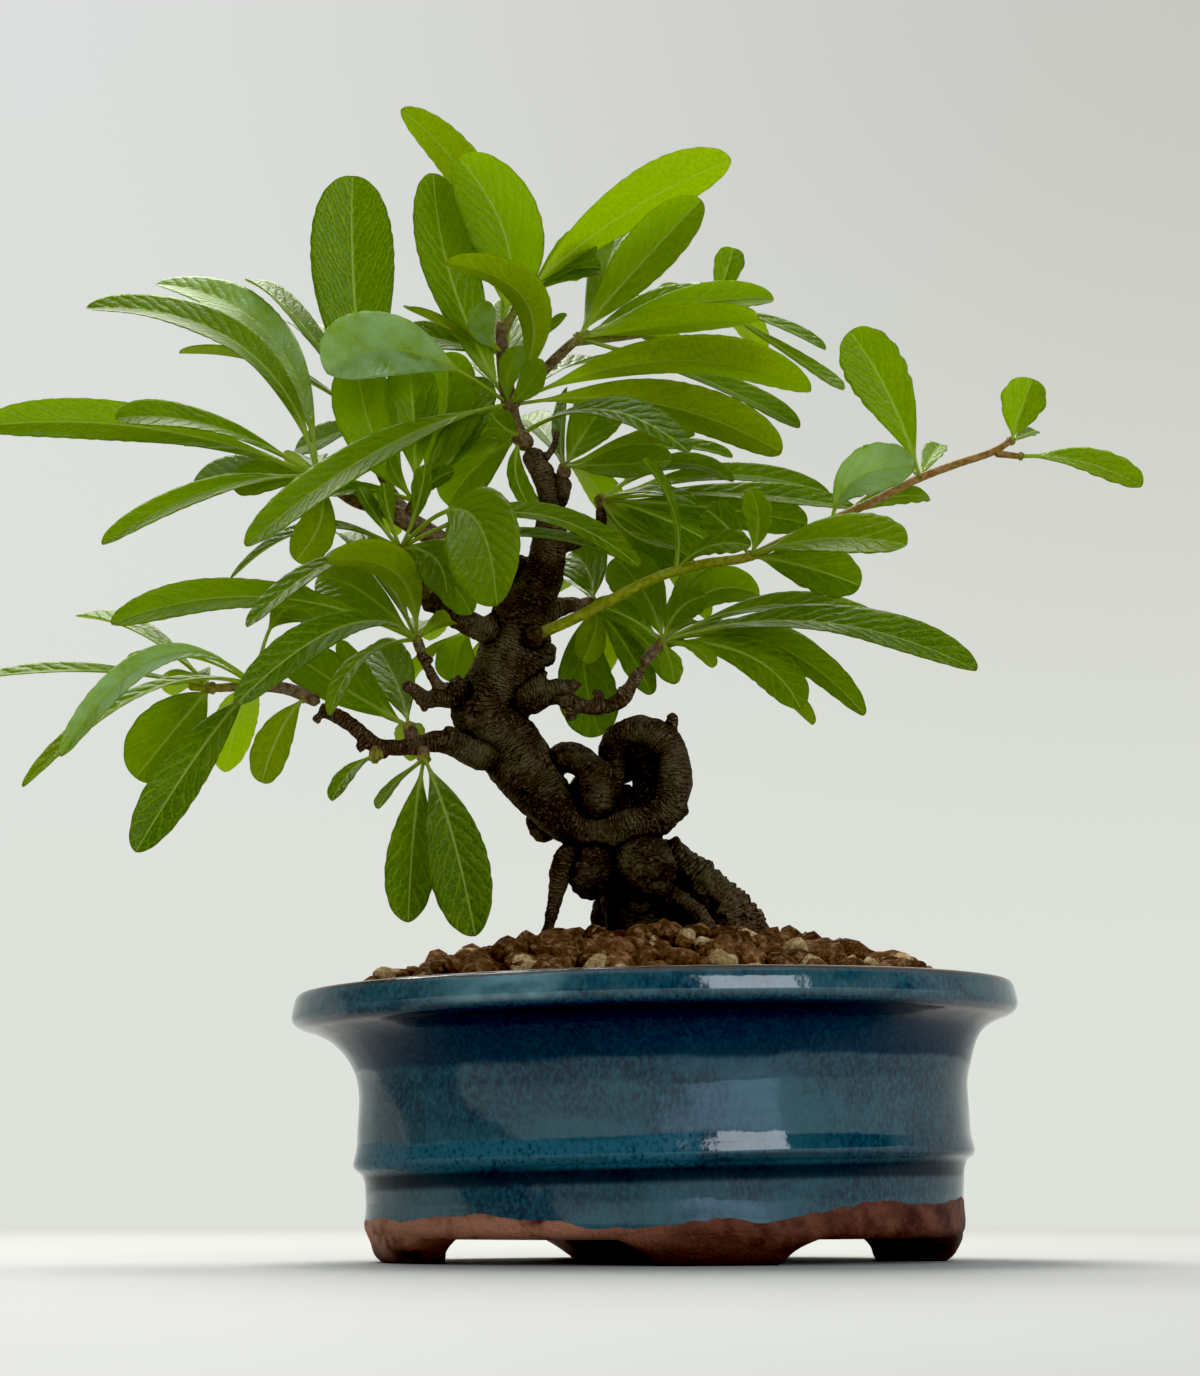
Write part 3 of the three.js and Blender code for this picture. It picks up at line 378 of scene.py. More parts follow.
def glazed_stoneware():
    """Deep blue-green glaze with a fine mottle, thin and brown where it breaks over the lip's edge,
    and dark where the glaze pools in the groove. Calm zones mirror less: a band high up, a low patch on
    the left and a slanting streak. The band high up, and a narrower band just under the lip, are
    painted dark as the shade below the lip. A pale line along the very top of the rim is a painted
    highlight. Below a wavy line the clay is bare, and it is painted darker towards the foot's bottom as
    shade near the floor."""
    finish = Finish("glazed_stoneware")
    height = finish.axis("Z") - POT_LEAN * (finish.axis("X") - float(POT_CENTRE[0]))
    across = finish.axis("X") - float(POT_CENTRE[0])
    fine = finish.noise(0.8, 3, stretch=(1, 1, 1.5))
    patch = finish.noise(15, 3, stretch=(1.8, 1.8, 1))
    streak = finish.noise(3.2, 2, stretch=(1, 1, 3))
    clay_line = 13.4 + 2.2 * across.ramp(18, 46) - 1.4 * across.ramp(-40, -10)
    clay = (height + 7 * finish.noise(18, 3) - clay_line).ramp(0.15, -0.15)
    glaze = finish.mix(fine.ramp(0.36, 0.68), (0.0012, 0.016, 0.034), (0.009, 0.062, 0.096))
    pale = (patch + 0.3 * streak).ramp(0.56, 0.80) * height.ramp(44, 38)
    glaze = finish.mix(0.65 * pale, glaze, (0.018, 0.092, 0.122))
    wavy = height + 5 * finish.noise(16, 3, stretch=(2.2, 2.2, 1)) - 2.5
    bent = across + 16 * finish.noise(11, 3) - 8
    # Painted shade: a band under the lip is painted dark navy, and it also mirrors less.
    upper = wavy.ramp(38.6, 40) * height.ramp(49.8, 48.8)
    glaze = finish.mix(upper * (0.45 + 0.5 * streak), glaze, (0.0008, 0.010, 0.032))
    low = wavy.ramp(25, 24) * wavy.ramp(18.4, 19.4) * bent.ramp(9, 5)
    glaze = finish.mix(0.85 * low * fine.ramp(0.24, 0.56), glaze, (0.030, 0.118, 0.168))
    slant = (bent + 0.67 * height + 22.6).size().ramp(10, 6)
    pooled_and_shade = height.ramp(19.2, 18) * height.ramp(14.9, 16.4)
    quiet = (upper + low + slant + pooled_and_shade).ramp(0, 1)
    # Painted shade: a dark band just under the lip is added to the glaze that pools in the groove.
    pooled_and_shade = pooled_and_shade + 0.5 * height.ramp(49.2, 48.4) * height.ramp(45.4, 47.4)
    glaze = finish.mix(0.85 * pooled_and_shade, glaze, (0.0005, 0.004, 0.012))
    milky = finish.noise(5, 3, stretch=(2, 2, 1)).ramp(0.25, 0.65)
    milky = milky * height.ramp(49.6, 51) * height.ramp(56.6, 55)
    milky = milky * (0.25 + 0.75 * (across + 29).size().ramp(17, 6))
    glaze = finish.mix(0.85 * milky, glaze, (0.155, 0.290, 0.315))
    green = finish.noise(8, 3, stretch=(2, 2, 1)).ramp(0.48, 0.62) * height.ramp(50, 52)
    glaze = finish.mix(0.35 * green, glaze, (0.007, 0.066, 0.088))
    rim = (height + 1.0 * finish.noise(5, 3)).ramp(55.2, 55.7)
    worn_edge = height + 1.2 * finish.noise(4, 3)
    lip = worn_edge.ramp(49.9, 49.2) * worn_edge.ramp(47.9, 48.6)
    crest = height + 0.9 * streak
    ridge = crest.ramp(20.3, 20.8) * crest.ramp(21.5, 21) * patch.ramp(0.5, 0.6)
    glaze = finish.mix(0.85 * rim + 0.45 * ridge + 0.4 * lip, glaze, (0.030, 0.012, 0.008))
    # Painted highlight: a pale grey-green line along the very top of the rim.
    crown = (height + 0.5 * finish.noise(9, 3)).ramp(55.85, 56.05)
    glaze = finish.mix(0.6 * crown, glaze, (0.30, 0.36, 0.34))
    earth = finish.noise(4, 4)
    bare = finish.mix(earth.ramp(0.3, 0.7), (0.045, 0.009, 0.006), (0.140, 0.040, 0.024))
    worn = finish.noise(8, 4).ramp(0.30, 0.52) * height.ramp(13, 9)
    worn = worn * (0.12 + 0.88 * across.ramp(6, -24))
    bare = finish.mix(0.85 * worn, bare, (0.44, 0.185, 0.112))
    # Painted shade: the bare clay darkens towards the bottom of the foot, near the floor.
    bare = finish.mix(0.8 * height.ramp(6.5, 1.5), bare, (0.020, 0.006, 0.004))
    skin = finish.bump(finish.noise(2.2, 2), 0.03, finish.bump(finish.noise(11, 2), 0.2))
    grit = finish.bump(finish.noise(0.8, 4) + 1.2 * earth, 0.5)
    shine = finish.surface(Base_Color=glaze, Roughness=0.08, IOR=1.5, Normal=skin)
    deep = finish.surface(Base_Color=glaze, Roughness=0.08, IOR=1.22, Normal=skin)
    dull = finish.surface(Base_Color=bare, Roughness=0.6, IOR=1.25, Normal=grit)
    glassy = finish.blend(0.85 * quiet, shine, deep)
    return finish.done(finish.blend(clay, glassy, dull))


DRAIN_OFFSET = 31
DRAIN_RADIUS = 5
bowl_blank = add_object("bowl_blank", make_mesh("bowl_blank", [bowl()]))
for side in (-1, 1):
    hole = np.array([math.cos(POT_TURN), math.sin(POT_TURN), 0]) * side * DRAIN_OFFSET + POT_CENTRE
    hole[0] += BODY_OFFSET
    bowl_blank.data = drill(bowl_blank, hole, DRAIN_RADIUS)
feet_mesh = make_mesh("feet", [foot(quarter * math.pi / 2) for quarter in range(4)])
blanks = [bowl_blank, add_object("feet_blank", feet_mesh)]
with bpy.context.temp_override(active_object=bowl_blank, selected_editable_objects=blanks):
    bpy.ops.object.join()
pot_mesh = bowl_blank.data
bpy.data.objects.remove(bowl_blank)
place_piece("pot_bowl", pot_mesh, [glazed_stoneware()], ["pot"])


# The drain screens. Two squares of 20 mm, cut from woven black plastic mesh. One is laid over each
# drain hole before the soil goes in, which then holds it down.
SCREEN_HALF = 10
THREAD_PITCH = 2
THREAD_RADIUS = 0.26
THREAD_LIFT = 0.16


def plastic_mesh(centre):
    """A square of crossing round threads, woven over and under by a cosine."""
    threads = []
    along = np.linspace(-SCREEN_HALF, SCREEN_HALF, 41)
    angle = np.linspace(0, 2 * math.pi, 8, endpoint=False)
    for way in (0, 1):
        for number in range(2 * SCREEN_HALF // THREAD_PITCH + 1):
            offset = number * THREAD_PITCH - SCREEN_HALF
            lift = THREAD_LIFT * np.cos(math.pi * along / THREAD_PITCH + math.pi * (number + way))
            line = np.stack([along, 0 * along + offset, lift], -1)
            ring = np.stack([0 * angle, np.cos(angle), np.sin(angle)], -1) * THREAD_RADIUS
            points = line[:, None] + ring[None]
            if way:
                points = points[..., [1, 0, 2]] * [-1, 1, 1]
            threads.append((points.reshape(-1, 3) + centre, *ring_faces(len(along), len(angle))))
    return threads


def black_plastic():
    """Plain black plastic, a little dusty."""
    finish = Finish("black_plastic")
    shade = finish.mix(finish.noise(3).ramp(0.3, 0.7), (0.012, 0.013, 0.012), (0.03, 0.032, 0.03))
    return finish.done(finish.surface(Base_Color=shade, Roughness=0.6))


plastic = black_plastic()
for name in ("drain_screen_left", "drain_screen_right"):
    low, high = (np.array(corner) * 1000 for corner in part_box(name))
    mesh = make_mesh(name + "_mesh", plastic_mesh((low + high) / 2))
    place_piece(name + "_mesh", mesh, [plastic], [name])


# The soil. Coarse fired-clay grains, sieved to 4 to 7 mm, brown with a few cream ones, piled in a
# mound that rises to the trunk. A rough bed of smaller stuff fills the bowl under the loose grains.
SOIL_HALF_LENGTH = 67.6
SOIL_EDGE_HEIGHT = 52.6
SOIL_MOUND = 13.4
# Half length of the soil's sides at each height, from the pot's floor up to just under the edge
SOIL_SIDES = np.array([
    (1, 11.3), (53.8, 11.4), (56.9, 14), (58.7, 32), (60.7, 41), (64.4, 46.6), (66.6, 50.2)])
GRAIN_COUNT = 780
PALE_SHARE = 0.12
PALE_SIZE = 0.88


def mound(share, angle):
    """Points of the soil's top: from the edge where share is 1 it rises as (1 - share²)^1.05."""
    half_depth = SOIL_HALF_LENGTH - (RIM_HALF_LENGTH - RIM_HALF_DEPTH)
    height = SOIL_EDGE_HEIGHT + SOIL_MOUND * (1 - share ** 2) ** 1.05
    return oval(SOIL_HALF_LENGTH * share, half_depth * share, height, angle)


def soil_bed():
    """The mound's surface with a rough relief, over a plain body that fills the bowl."""
    depth_less = RIM_HALF_LENGTH - RIM_HALF_DEPTH
    rings = 90
    half_length, height = SOIL_SIDES.T[..., None]
    half_depth = np.maximum(half_length - depth_less, 0.8)
    angle = np.linspace(0, 2 * math.pi, 220, endpoint=False)
    sides = oval(half_length, half_depth, height, angle[None, :])
    top = mound(np.linspace(1, 0.004, rings)[:, None], angle[None, :])
    flat = top.reshape(-1, 3)
    relief = 0.8 * ripple(flat, 5, 11) + 0.4 * ripple(flat, 2.2, 12)
    inwards = np.linspace(0, 1, rings)[:, None] ** 0.3
    top[..., 2] += relief.reshape(top.shape[:2]) * inwards - 0.9
    points = np.concatenate([sides, top])
    return points.reshape(-1, 3), *ring_faces(len(points), len(angle))


def ball(levels):
    """Points and faces of a ball of triangles: an icosahedron with each face cut in four."""
    gold = (1 + 5 ** 0.5) / 2
    points = [(-1, gold, 0), (1, gold, 0), (-1, -gold, 0), (1, -gold, 0), (0, -1, gold), (0, 1, gold),
              (0, -1, -gold), (0, 1, -gold), (gold, 0, -1), (gold, 0, 1), (-gold, 0, -1), (-gold, 0, 1)]
    faces = np.array([
        (0, 11, 5), (0, 5, 1), (0, 1, 7), (0, 7, 10), (0, 10, 11), (1, 5, 9), (5, 11, 4), (11, 10, 2),
        (10, 7, 6), (7, 1, 8), (3, 9, 4), (3, 4, 2), (3, 2, 6), (3, 6, 8), (3, 8, 9), (4, 9, 5),
        (2, 4, 11), (6, 2, 10), (8, 6, 7), (9, 8, 1)])
    points = np.array(points, float)
    for _ in range(levels):
        edges = np.sort(np.concatenate([faces[:, [0, 1]], faces[:, [1, 2]], faces[:, [2, 0]]]), 1)
        edges, back = np.unique(edges, axis=0, return_inverse=True)
        middle = back.reshape(3, -1).T + len(points)
        points = np.vstack([points, points[edges].mean(1)])
        a, b, c = faces.T
        ab, bc, ca = middle.T
        faces = np.concatenate([
            np.stack(f, 1) for f in ((a, ab, ca), (ab, b, bc), (ca, bc, c), (ab, bc, ca))])
    return points / np.linalg.norm(points, axis=1)[:, None], faces


def grains(places, sizes, seed, levels):
    """Broken lumps: each is a ball cut by nine random planes, which are blended by a power mean so
    that its edges are worn, then stretched a little."""
    cuts, power = 9, 20
    draw = np.random.default_rng(seed)
    way, faces = ball(levels)
    count = len(places)
    planes = draw.normal(size=(count, cuts, 3))
    planes /= np.linalg.norm(planes, axis=2)[..., None]
    offsets = draw.uniform(0.66, 1.0, (count, cuts))
    facing = np.clip(np.einsum("vk,cpk->cvp", way, planes), 0, None) / offsets[:, None]
    reach = 1 / (facing ** power).sum(2).clip(1e-9) ** (1 / power)
    reach = np.minimum(reach, 1.16)
    stretch = draw.uniform(0.74, 1.2, (count, 1, 3)) * [1, 1, 0.9]
    points = way * reach[..., None] * stretch * (np.asarray(sizes) / 2)[:, None, None]
    turn = draw.uniform(0, 2 * math.pi, count)
    cos, sin = np.cos(turn)[:, None], np.sin(turn)[:, None]
    x, y = points[..., 0].copy(), points[..., 1].copy()
    points[..., 0] = x * cos - y * sin
    points[..., 1] = x * sin + y * cos
    points += np.asarray(places)[:, None]
    triangles = faces[None] + np.arange(count)[:, None, None] * len(way)
    none = np.zeros((0, 4), int)
    return points.reshape(-1, 3), none, triangles.reshape(-1, 3)


def fired_clay(name, dark, light, dust):
    """Porous clay grains: a colour that differs from grain to grain and is dusty in places."""
    finish = Finish(name)
    tone = finish.note("tone")
    pores = finish.noise(0.9, 4)
    crumbs = finish.noise(2.0, 3)
    shade = finish.mix(0.65 * tone + 0.35 * finish.noise(4, 3).ramp(0.3, 0.7), dark, light)
    shade = finish.mix(0.6 * pores.ramp(0.62, 0.36), shade, tuple(0.3 * c for c in dark))
    shade = finish.mix(0.6 * crumbs.ramp(0.50, 0.70), shade, dust)
    rough = finish.bump(pores + 1.4 * crumbs, 0.8)
    return finish.done(finish.surface(Base_Color=shade, Roughness=0.95, IOR=1.2, Normal=rough))


def scatter(count, seed):
    """Places on the mound by a sunflower spiral, which fills it evenly, each pushed off at random."""
    draw = np.random.default_rng(seed)
    share = np.sqrt((np.arange(count) + 0.5) / count)
    angle = np.arange(count) * math.pi * (3 - 5 ** 0.5)
    places = mound(share, angle)
    places[:, :2] += draw.uniform(-1.3, 1.3, (count, 2))
    return places, share, draw


bed = soil_bed()
brown = fired_clay("brown_grains", (0.052, 0.021, 0.008), (0.240, 0.108, 0.045), (0.44, 0.240, 0.120))
bed_mesh = make_mesh("soil_bed", [bed], {"tone": [np.full(len(bed[0]), 0.1)]})
place_piece("soil_bed", bed_mesh, [brown], ["soil"])

places, share, draw = scatter(GRAIN_COUNT, 21)
sizes = draw.uniform(3.6, 8.0, len(places)) * np.where(share > 0.93, 0.85, 1)
places[:, 2] += draw.uniform(-2.2, 1.7, len(places))
pale = draw.random(len(places)) < PALE_SHARE
sizes[pale] *= PALE_SIZE
tones = draw.random(len(places))
cream = fired_clay("pale_grains", (0.36, 0.225, 0.095), (0.66, 0.460, 0.235), (0.80, 0.640, 0.390))
kinds = (("soil_grains", ~pale, brown, 1), ("pale_grains", pale, cream, 2))
for name, chosen, material, levels in kinds:
    lumps = grains(places[chosen], sizes[chosen], 22, levels)
    each = len(lumps[0]) // chosen.sum()
    mesh = make_mesh(name, [lumps], {"tone": [np.repeat(tones[chosen], each)]})
    place_piece(name, mesh, [material], ["soil"])


# The wood. Firethorn trunk that was tied in a knot when it was young, so it now stands as a coil on
# its roots, and above the coil leans left. Grey-brown bark, wrinkled across, with pores and scars.
EYE = np.array([-12.2, -555, 12.2])
# Each stretch as [x, z, y, radius]: x and z as the front view shows them on the plane y = 0
WOOD = [
  # main trunk: from the hidden end of the large ring, round the ring, and leaning up to the crown
  [[-9.4, 96, 5, 2.6], [-9.3, 101.6, 3, 2.6], [-9.6, 107, 1.4, 2.8], [-7.6, 110.2, -0.4, 3],
    [-3.6, 111.3, -2.4, 3.1], [0.7, 110, -3.6, 3.3], [3, 107, -4, 3.5], [3.6, 102.4, -4, 3.8],
    [2.4, 96.4, -4, 4.2], [-0.4, 92.7, -3.8, 4.4], [-4.6, 90.6, -3.2, 4.4], [-9.6, 89.6, -2.4, 4.4],
    [-15, 90, -1.4, 4.8], [-19.8, 92.6, -0.4, 5.2], [-24.2, 97.2, 0, 5.9], [-27.8, 102.4, 0, 6.8],
    [-31.2, 106.8, 0, 7.1], [-34.4, 111, 0, 7.6], [-36, 115, 0, 8], [-35, 119, 0, 7.6],
    [-33.2, 122.8, 0, 7.2], [-31.8, 126.6, 0, 7.3], [-30.4, 130.4, 0, 7.3], [-29.6, 134, 0, 6.9],
    [-28.6, 137.6, 0, 6.3], [-27, 141, 0, 5.5], [-25.2, 144.8, 0, 4.8], [-23.9, 149, 0, 4.2],
    [-23.2, 153.6, 0, 3.7], [-22.9, 158.6, 0, 3.2], [-22.8, 163, 0, 2.9], [-24.8, 168.5, 0.5, 2.6],
    [-27.6, 174, 1, 2.4]],
  # small loop in front of the ring's left side
  [[-23.8, 100.6, 0.6, 3.2], [-21.8, 104.2, 0, 3.2], [-18.8, 105.4, -1, 3.2],
    [-15.4, 104, -2.4, 3.4], [-13, 100.4, -3.6, 4.1], [-12.9, 96.2, -3.6, 4],
    [-13.8, 92.4, -2, 3.6]],
  [[-18.6, 91, 3.4, 3.4], [-18, 95.6, 3.4, 2.8], [-15.6, 99.4, 2.4, 2.7], [-13.4, 102, 1, 2.4]],
  # the turn of the trunk that shows behind the ring's hole
  [[-8.4, 110, 6, 3.4], [-7.8, 106.4, 9, 3.8], [-7.6, 103, 10, 3.8], [-7.5, 99.7, 10, 3.8]],
  [[-8.6, 91, 5, 3.8], [-8.4, 95.4, 6, 3.4], [-7.4, 98.4, 7, 2.8], [-7.4, 99.8, 7, 2.4]],
  [[-3.4, 109.8, 1.6, 2.6], [-2, 106.4, 2.6, 3.4], [-1.4, 102, 3.2, 3.8], [-2, 97.4, 3, 3.8],
    [-4.4, 94, 2.4, 3.6], [-9, 92.6, 2, 3.8]],
  # lump low on the left of the coil
  [[-19, 93.6, 4.6, 4.2], [-22.6, 92.2, 5.4, 4], [-24.6, 90.8, 5, 3.6], [-21.4, 88.4, 4.6, 2.8]],
  # left and right lobes of the root crown
  [[-10.6, 88.6, 1, 5], [-12.8, 85, 0.2, 5], [-13.9, 80.8, 0, 5.2], [-11.6, 76, 1.2, 4.2]],
  [[-4, 87.6, 0.6, 5], [-3, 83.4, -1.6, 6.4], [-2.6, 79.8, -1.8, 6.5], [-3.6, 76.6, 0, 4.8]],
  # stem of the root crown, down into the soil
  [[-7.6, 89, 3.6, 4.6], [-7.4, 84, 4.4, 6.4], [-5.6, 76, 6, 6.6], [-4.4, 68, 6, 6.6],
    [-4, 60, 6, 6], [-4, 50, 6, 4]],
  # roots: thin left, thick right with its fan, slender front, and one behind
  [[-15, 87, 1.4, 3.4], [-18.6, 84.4, -1, 2.8], [-20.6, 81, -2, 2.3], [-21.4, 77, -2.4, 1.7],
    [-22.3, 72.6, -2.6, 1.5], [-23.2, 66, -2.6, 1.5], [-23.4, 58, -2.6, 1.3]],
  [[-1.6, 84.8, 3, 3.8], [3, 84, 3.2, 3.4], [6.8, 81.4, 3, 3.6], [10.4, 78.4, 2.8, 3.8],
    [13.8, 75, 2.8, 4.2], [16.4, 71.4, 3, 5.2], [17.6, 67, 3.4, 5.8], [18.2, 58, 4.4, 4.6]],
  [[1, 81, 9, 5], [4.6, 78, 9, 5], [6.2, 73, 8, 5.2], [6.6, 66, 7, 5.2], [6.6, 58, 7, 4.6]],
  [[2.2, 76.6, 1, 2], [4.8, 74.8, -2, 1.9], [7.6, 72.8, -3.6, 1.8], [9.8, 70.2, -4.4, 1.9],
    [11, 66.4, -4.6, 2.2], [11.4, 59, -4.6, 1.8]],
  [[-6, 82, 6, 5], [-9.5, 76, 13, 3.8], [-10.5, 68, 16, 3.6], [-10.5, 57, 16, 2.8]],
  # stub on the ring
  [[2.2, 108.6, -3.4, 1.9], [3.2, 112.6, -3.2, 1.3], [3.4, 115.4, -3, 1.2]],
  # short thick stub on the left of the trunk, cut flat
  [[-30, 131.6, -1, 4.4], [-36.6, 133, -4, 3], [-42.4, 136, -6.6, 2.6], [-48.4, 139.6, -9, 2.4]],
  # branch to the upper left
  [[-26, 146, 1, 3.8], [-37, 148.2, 2, 3.1], [-46, 151.5, 2, 2.7]],
  # stub on the middle left with its arm, and the spur above it
  [[-37, 119.4, -2, 3.6], [-42.4, 119, -4, 2.8], [-46.4, 118.4, -5, 2.1], [-50, 118.2, -6, 1.9],
    [-52.6, 120.4, -6.6, 1.4], [-55, 121.3, -7, 1.2]],
  [[-45.6, 119.4, -5, 1.5], [-47.8, 122.2, -5.8, 1.2], [-49.8, 126, -6.8, 1.1],
    [-51.2, 129, -7.6, 1.1]],
  # branch to the lower left
  [[-33, 107, -1, 5.6], [-38.4, 106.6, -3.4, 3.8], [-43, 108, -5.4, 2.8], [-47.6, 109, -7.4, 2.3],
    [-52, 107.8, -8.8, 1.8], [-56.6, 107.6, -9.8, 1.6], [-59.6, 107.8, -10.4, 1.7],
    [-62.8, 110, -11.2, 1.7], [-66, 112.8, -12, 1.7], [-69.6, 114.9, -12.5, 1.6],
    [-72.8, 116.6, -12.8, 1.6]],
  # branch to the lower right: a broken stub, the twig that goes on from under it, and its end
  [[-30, 118, -1, 5], [-25, 119, -2.4, 3.2], [-21.6, 119.8, -3, 2.7], [-18.2, 120.6, -3.4, 2.1]],
  [[-21.4, 118.6, -3, 2.3], [-17.4, 117.2, -3.4, 1.9], [-14, 116.3, -3.6, 1.6],
    [-10.4, 116.7, -4, 1.6], [-7.4, 118.2, -4.4, 1.7], [-5.2, 121.6, -4.8, 1.3],
    [-2.9, 125.4, -5, 1.2]],
  [[-18.4, 116.6, -3.4, 1.3], [-18.6, 114.6, -3.4, 1.1]],
  # collar that the long shoot leaves from
  [[-28, 131, -3, 3], [-26, 132.4, -8.4, 2.1]],
  # stub behind, stub at the upper fork, hook, and the two short branches on the right
  [[-26, 137, 3, 3.2], [-20, 138.6, 9, 2], [-16, 139.2, 12.4, 1.5]],
  [[-22.8, 159.5, 0, 2.9], [-20.6, 165, 0, 2.2], [-20.2, 167.8, 0, 1.9]],
  [[-25.6, 170.5, 0.5, 1.2], [-22.6, 174, 0, 0.8], [-21.4, 178.4, 0, 0.7]],
  [[-22.8, 152, 1, 2.8], [-16, 154, 5, 1.7], [-12, 157, 7, 1.3], [-12, 161, 7.4, 1.2]],
  # stub behind the trunk on the left
  [[-32, 131.5, 4, 4], [-38.4, 133, 9, 1.4]],
]
# Scars, knobs and buds on the wood, as [x, z, y, radius]
KNOBS = [
    [-24.6, 127.8, -2.6, 3.4], [-26.4, 124.4, -4, 2.6], [-42.2, 119.6, -4.4, 3],
    [-49.9, 117.7, -6.6, 2],
    [-18.2, 121.1, -3.6, 1.8], [-7.2, 118.7, -5, 1.9], [-12.6, 119.4, -4, 1.1],
    [-18.6, 114.5, -3.6, 1.3],
    [-44.4, 110.4, -7.4, 1.6], [-52.5, 111, -8.8, 1.2], [-63.5, 107.7, -11.4, 1], [-73, 114, -12.8, 1],
    [-48.2, 139.6, -9.2, 2.4], [-26, 132.4, -8.2, 2], [-27.4, 139.4, -5, 1.9],
    [-23.6, 141.6, -3.4, 1.6],
    [-22.4, 154.6, -2.8, 1.2], [-24.2, 164.4, -1.8, 1.1], [4.6, 94, -1, 2], [3.6, 87, 1, 1.1],
    [-49.6, 126.6, -7.4, 1.4], [-4.6, 122.6, -5.2, 1.4], [-59.4, 106.6, -10.6, 1.5],
    [-34.6, 136, -5, 2.2],
]


def seen(stations):
    """Places on the sight lines from the eye through [x, z] on the plane y = 0, at the depth y."""
    s = np.asarray(stations, float)
    past = s[..., 2] / -EYE[1]
    x = s[..., 0] + (s[..., 0] - EYE[0]) * past
    z = s[..., 1] + (s[..., 1] - EYE[2]) * past
    return np.stack([x, s[..., 2], z], -1) + POT_CENTRE


def tube(line, radius, around, wrinkle, pitch, seed):
    """A round skin along a line of points. Wrinkles run across it: a wave along it whose phase
    wanders with the angle. Both ends are rounded over the last radius of their length."""
    step = np.gradient(line, axis=0)
    length = np.linalg.norm(step, axis=1)
    ahead = step / length[:, None]
    side = np.cross(ahead, [0, 1, 0])
    side /= np.linalg.norm(side, axis=1)[:, None]
    front = np.cross(side, ahead)
    run = np.cumsum(length) - length[0]
    ends = np.minimum(run / radius[0], (run[-1] - run) / radius[-1]).clip(0.003, 1)
    radius = radius * np.sqrt(1 - (1 - ends) ** 2)
    t = np.linspace(0, 2 * math.pi, around, endpoint=False)
    ring = np.cos(t)[:, None] * side[:, None] - np.sin(t)[:, None] * front[:, None]
    places = line[:, None] + ring * radius[:, None, None]
    sway = ripple(places.reshape(-1, 3), 7, seed).reshape(places.shape[:2])
    folds = np.abs(np.sin(math.pi * run[:, None] / pitch + 1.7 * sway)) ** 0.7 - 0.6
    places += ring * (wrinkle * folds * ends[:, None])[..., None]
    return places.reshape(-1, 3), *ring_faces(len(line), around)


def stretch_of(stations):
    """Line and radius of a stretch: a curve through its stations, with a point at each 0.6 mm."""
    spine = np.hstack([seen(stations), np.asarray(stations, float)[:, 3:]])
    count = max(8, int(np.linalg.norm(np.diff(spine[:, :3], axis=0), axis=1).sum() / 0.6))
    fine = through(spine, count, 3)
    return fine[:, :3], fine[:, 3].clip(0.4)


def knob(place, radius, seed):
    """A lump: a ball with a rough skin, drawn out a little at random."""
    way, faces = ball(3)
    draw = np.random.default_rng(seed)
    points = way * radius * draw.uniform(0.8, 1.25, 3)
    points += way * (0.18 * radius * ripple(points, radius, seed))[:, None]
    return points + place, np.zeros((0, 4), int), faces


def melted(piece, voxel):
    """The piece's parts as one even skin: points, normals and quads as arrays."""
    melt = piece.modifiers.new("one_skin", "REMESH")
    melt.mode = "VOXEL"
    melt.voxel_size = voxel / 1000
    mesh = modified_mesh(piece)
    points = np.empty(len(mesh.vertices) * 3, np.float32)
    normals = np.empty(len(mesh.vertices) * 3, np.float32)
    quads = np.empty(len(mesh.polygons) * 4, np.int32)
    mesh.vertices.foreach_get("co", points)
    mesh.vertices.foreach_get("normal", normals)
    mesh.loops.foreach_get("vertex_index", quads)
    bpy.data.meshes.remove(mesh)
    return points.reshape(-1, 3).astype(float) * 1000, normals.reshape(-1, 3), quads.reshape(-1, 4)


def nearest_limbs(points, limbs):
    """For each point: how far it lies from the skin of the nearest limb and of the second nearest,
    how far along the nearest it is, and how thick that is there."""
    first = np.full(len(points), 99.0)
    second = np.full(len(points), 99.0)
    run = np.zeros(len(points))
    girth = np.zeros(len(points))
    for line, radius in limbs:
        square = (points ** 2).sum(1)[:, None] - 2 * points @ line.T + (line ** 2).sum(1)
        gap = np.sqrt(square.clip(0)) - radius
        at = gap.argmin(1)
        gap = gap[np.arange(len(points)), at]
        nearer = gap < first
        second = np.where(nearer, first, np.minimum(second, gap))
        first = np.where(nearer, gap, first)
        length = np.linalg.norm(np.diff(line, axis=0, prepend=line[:1]), axis=1).cumsum()
        run = np.where(nearer, length[at], run)
        girth = np.where(nearer, radius[at], girth)
    return first, second, run, girth


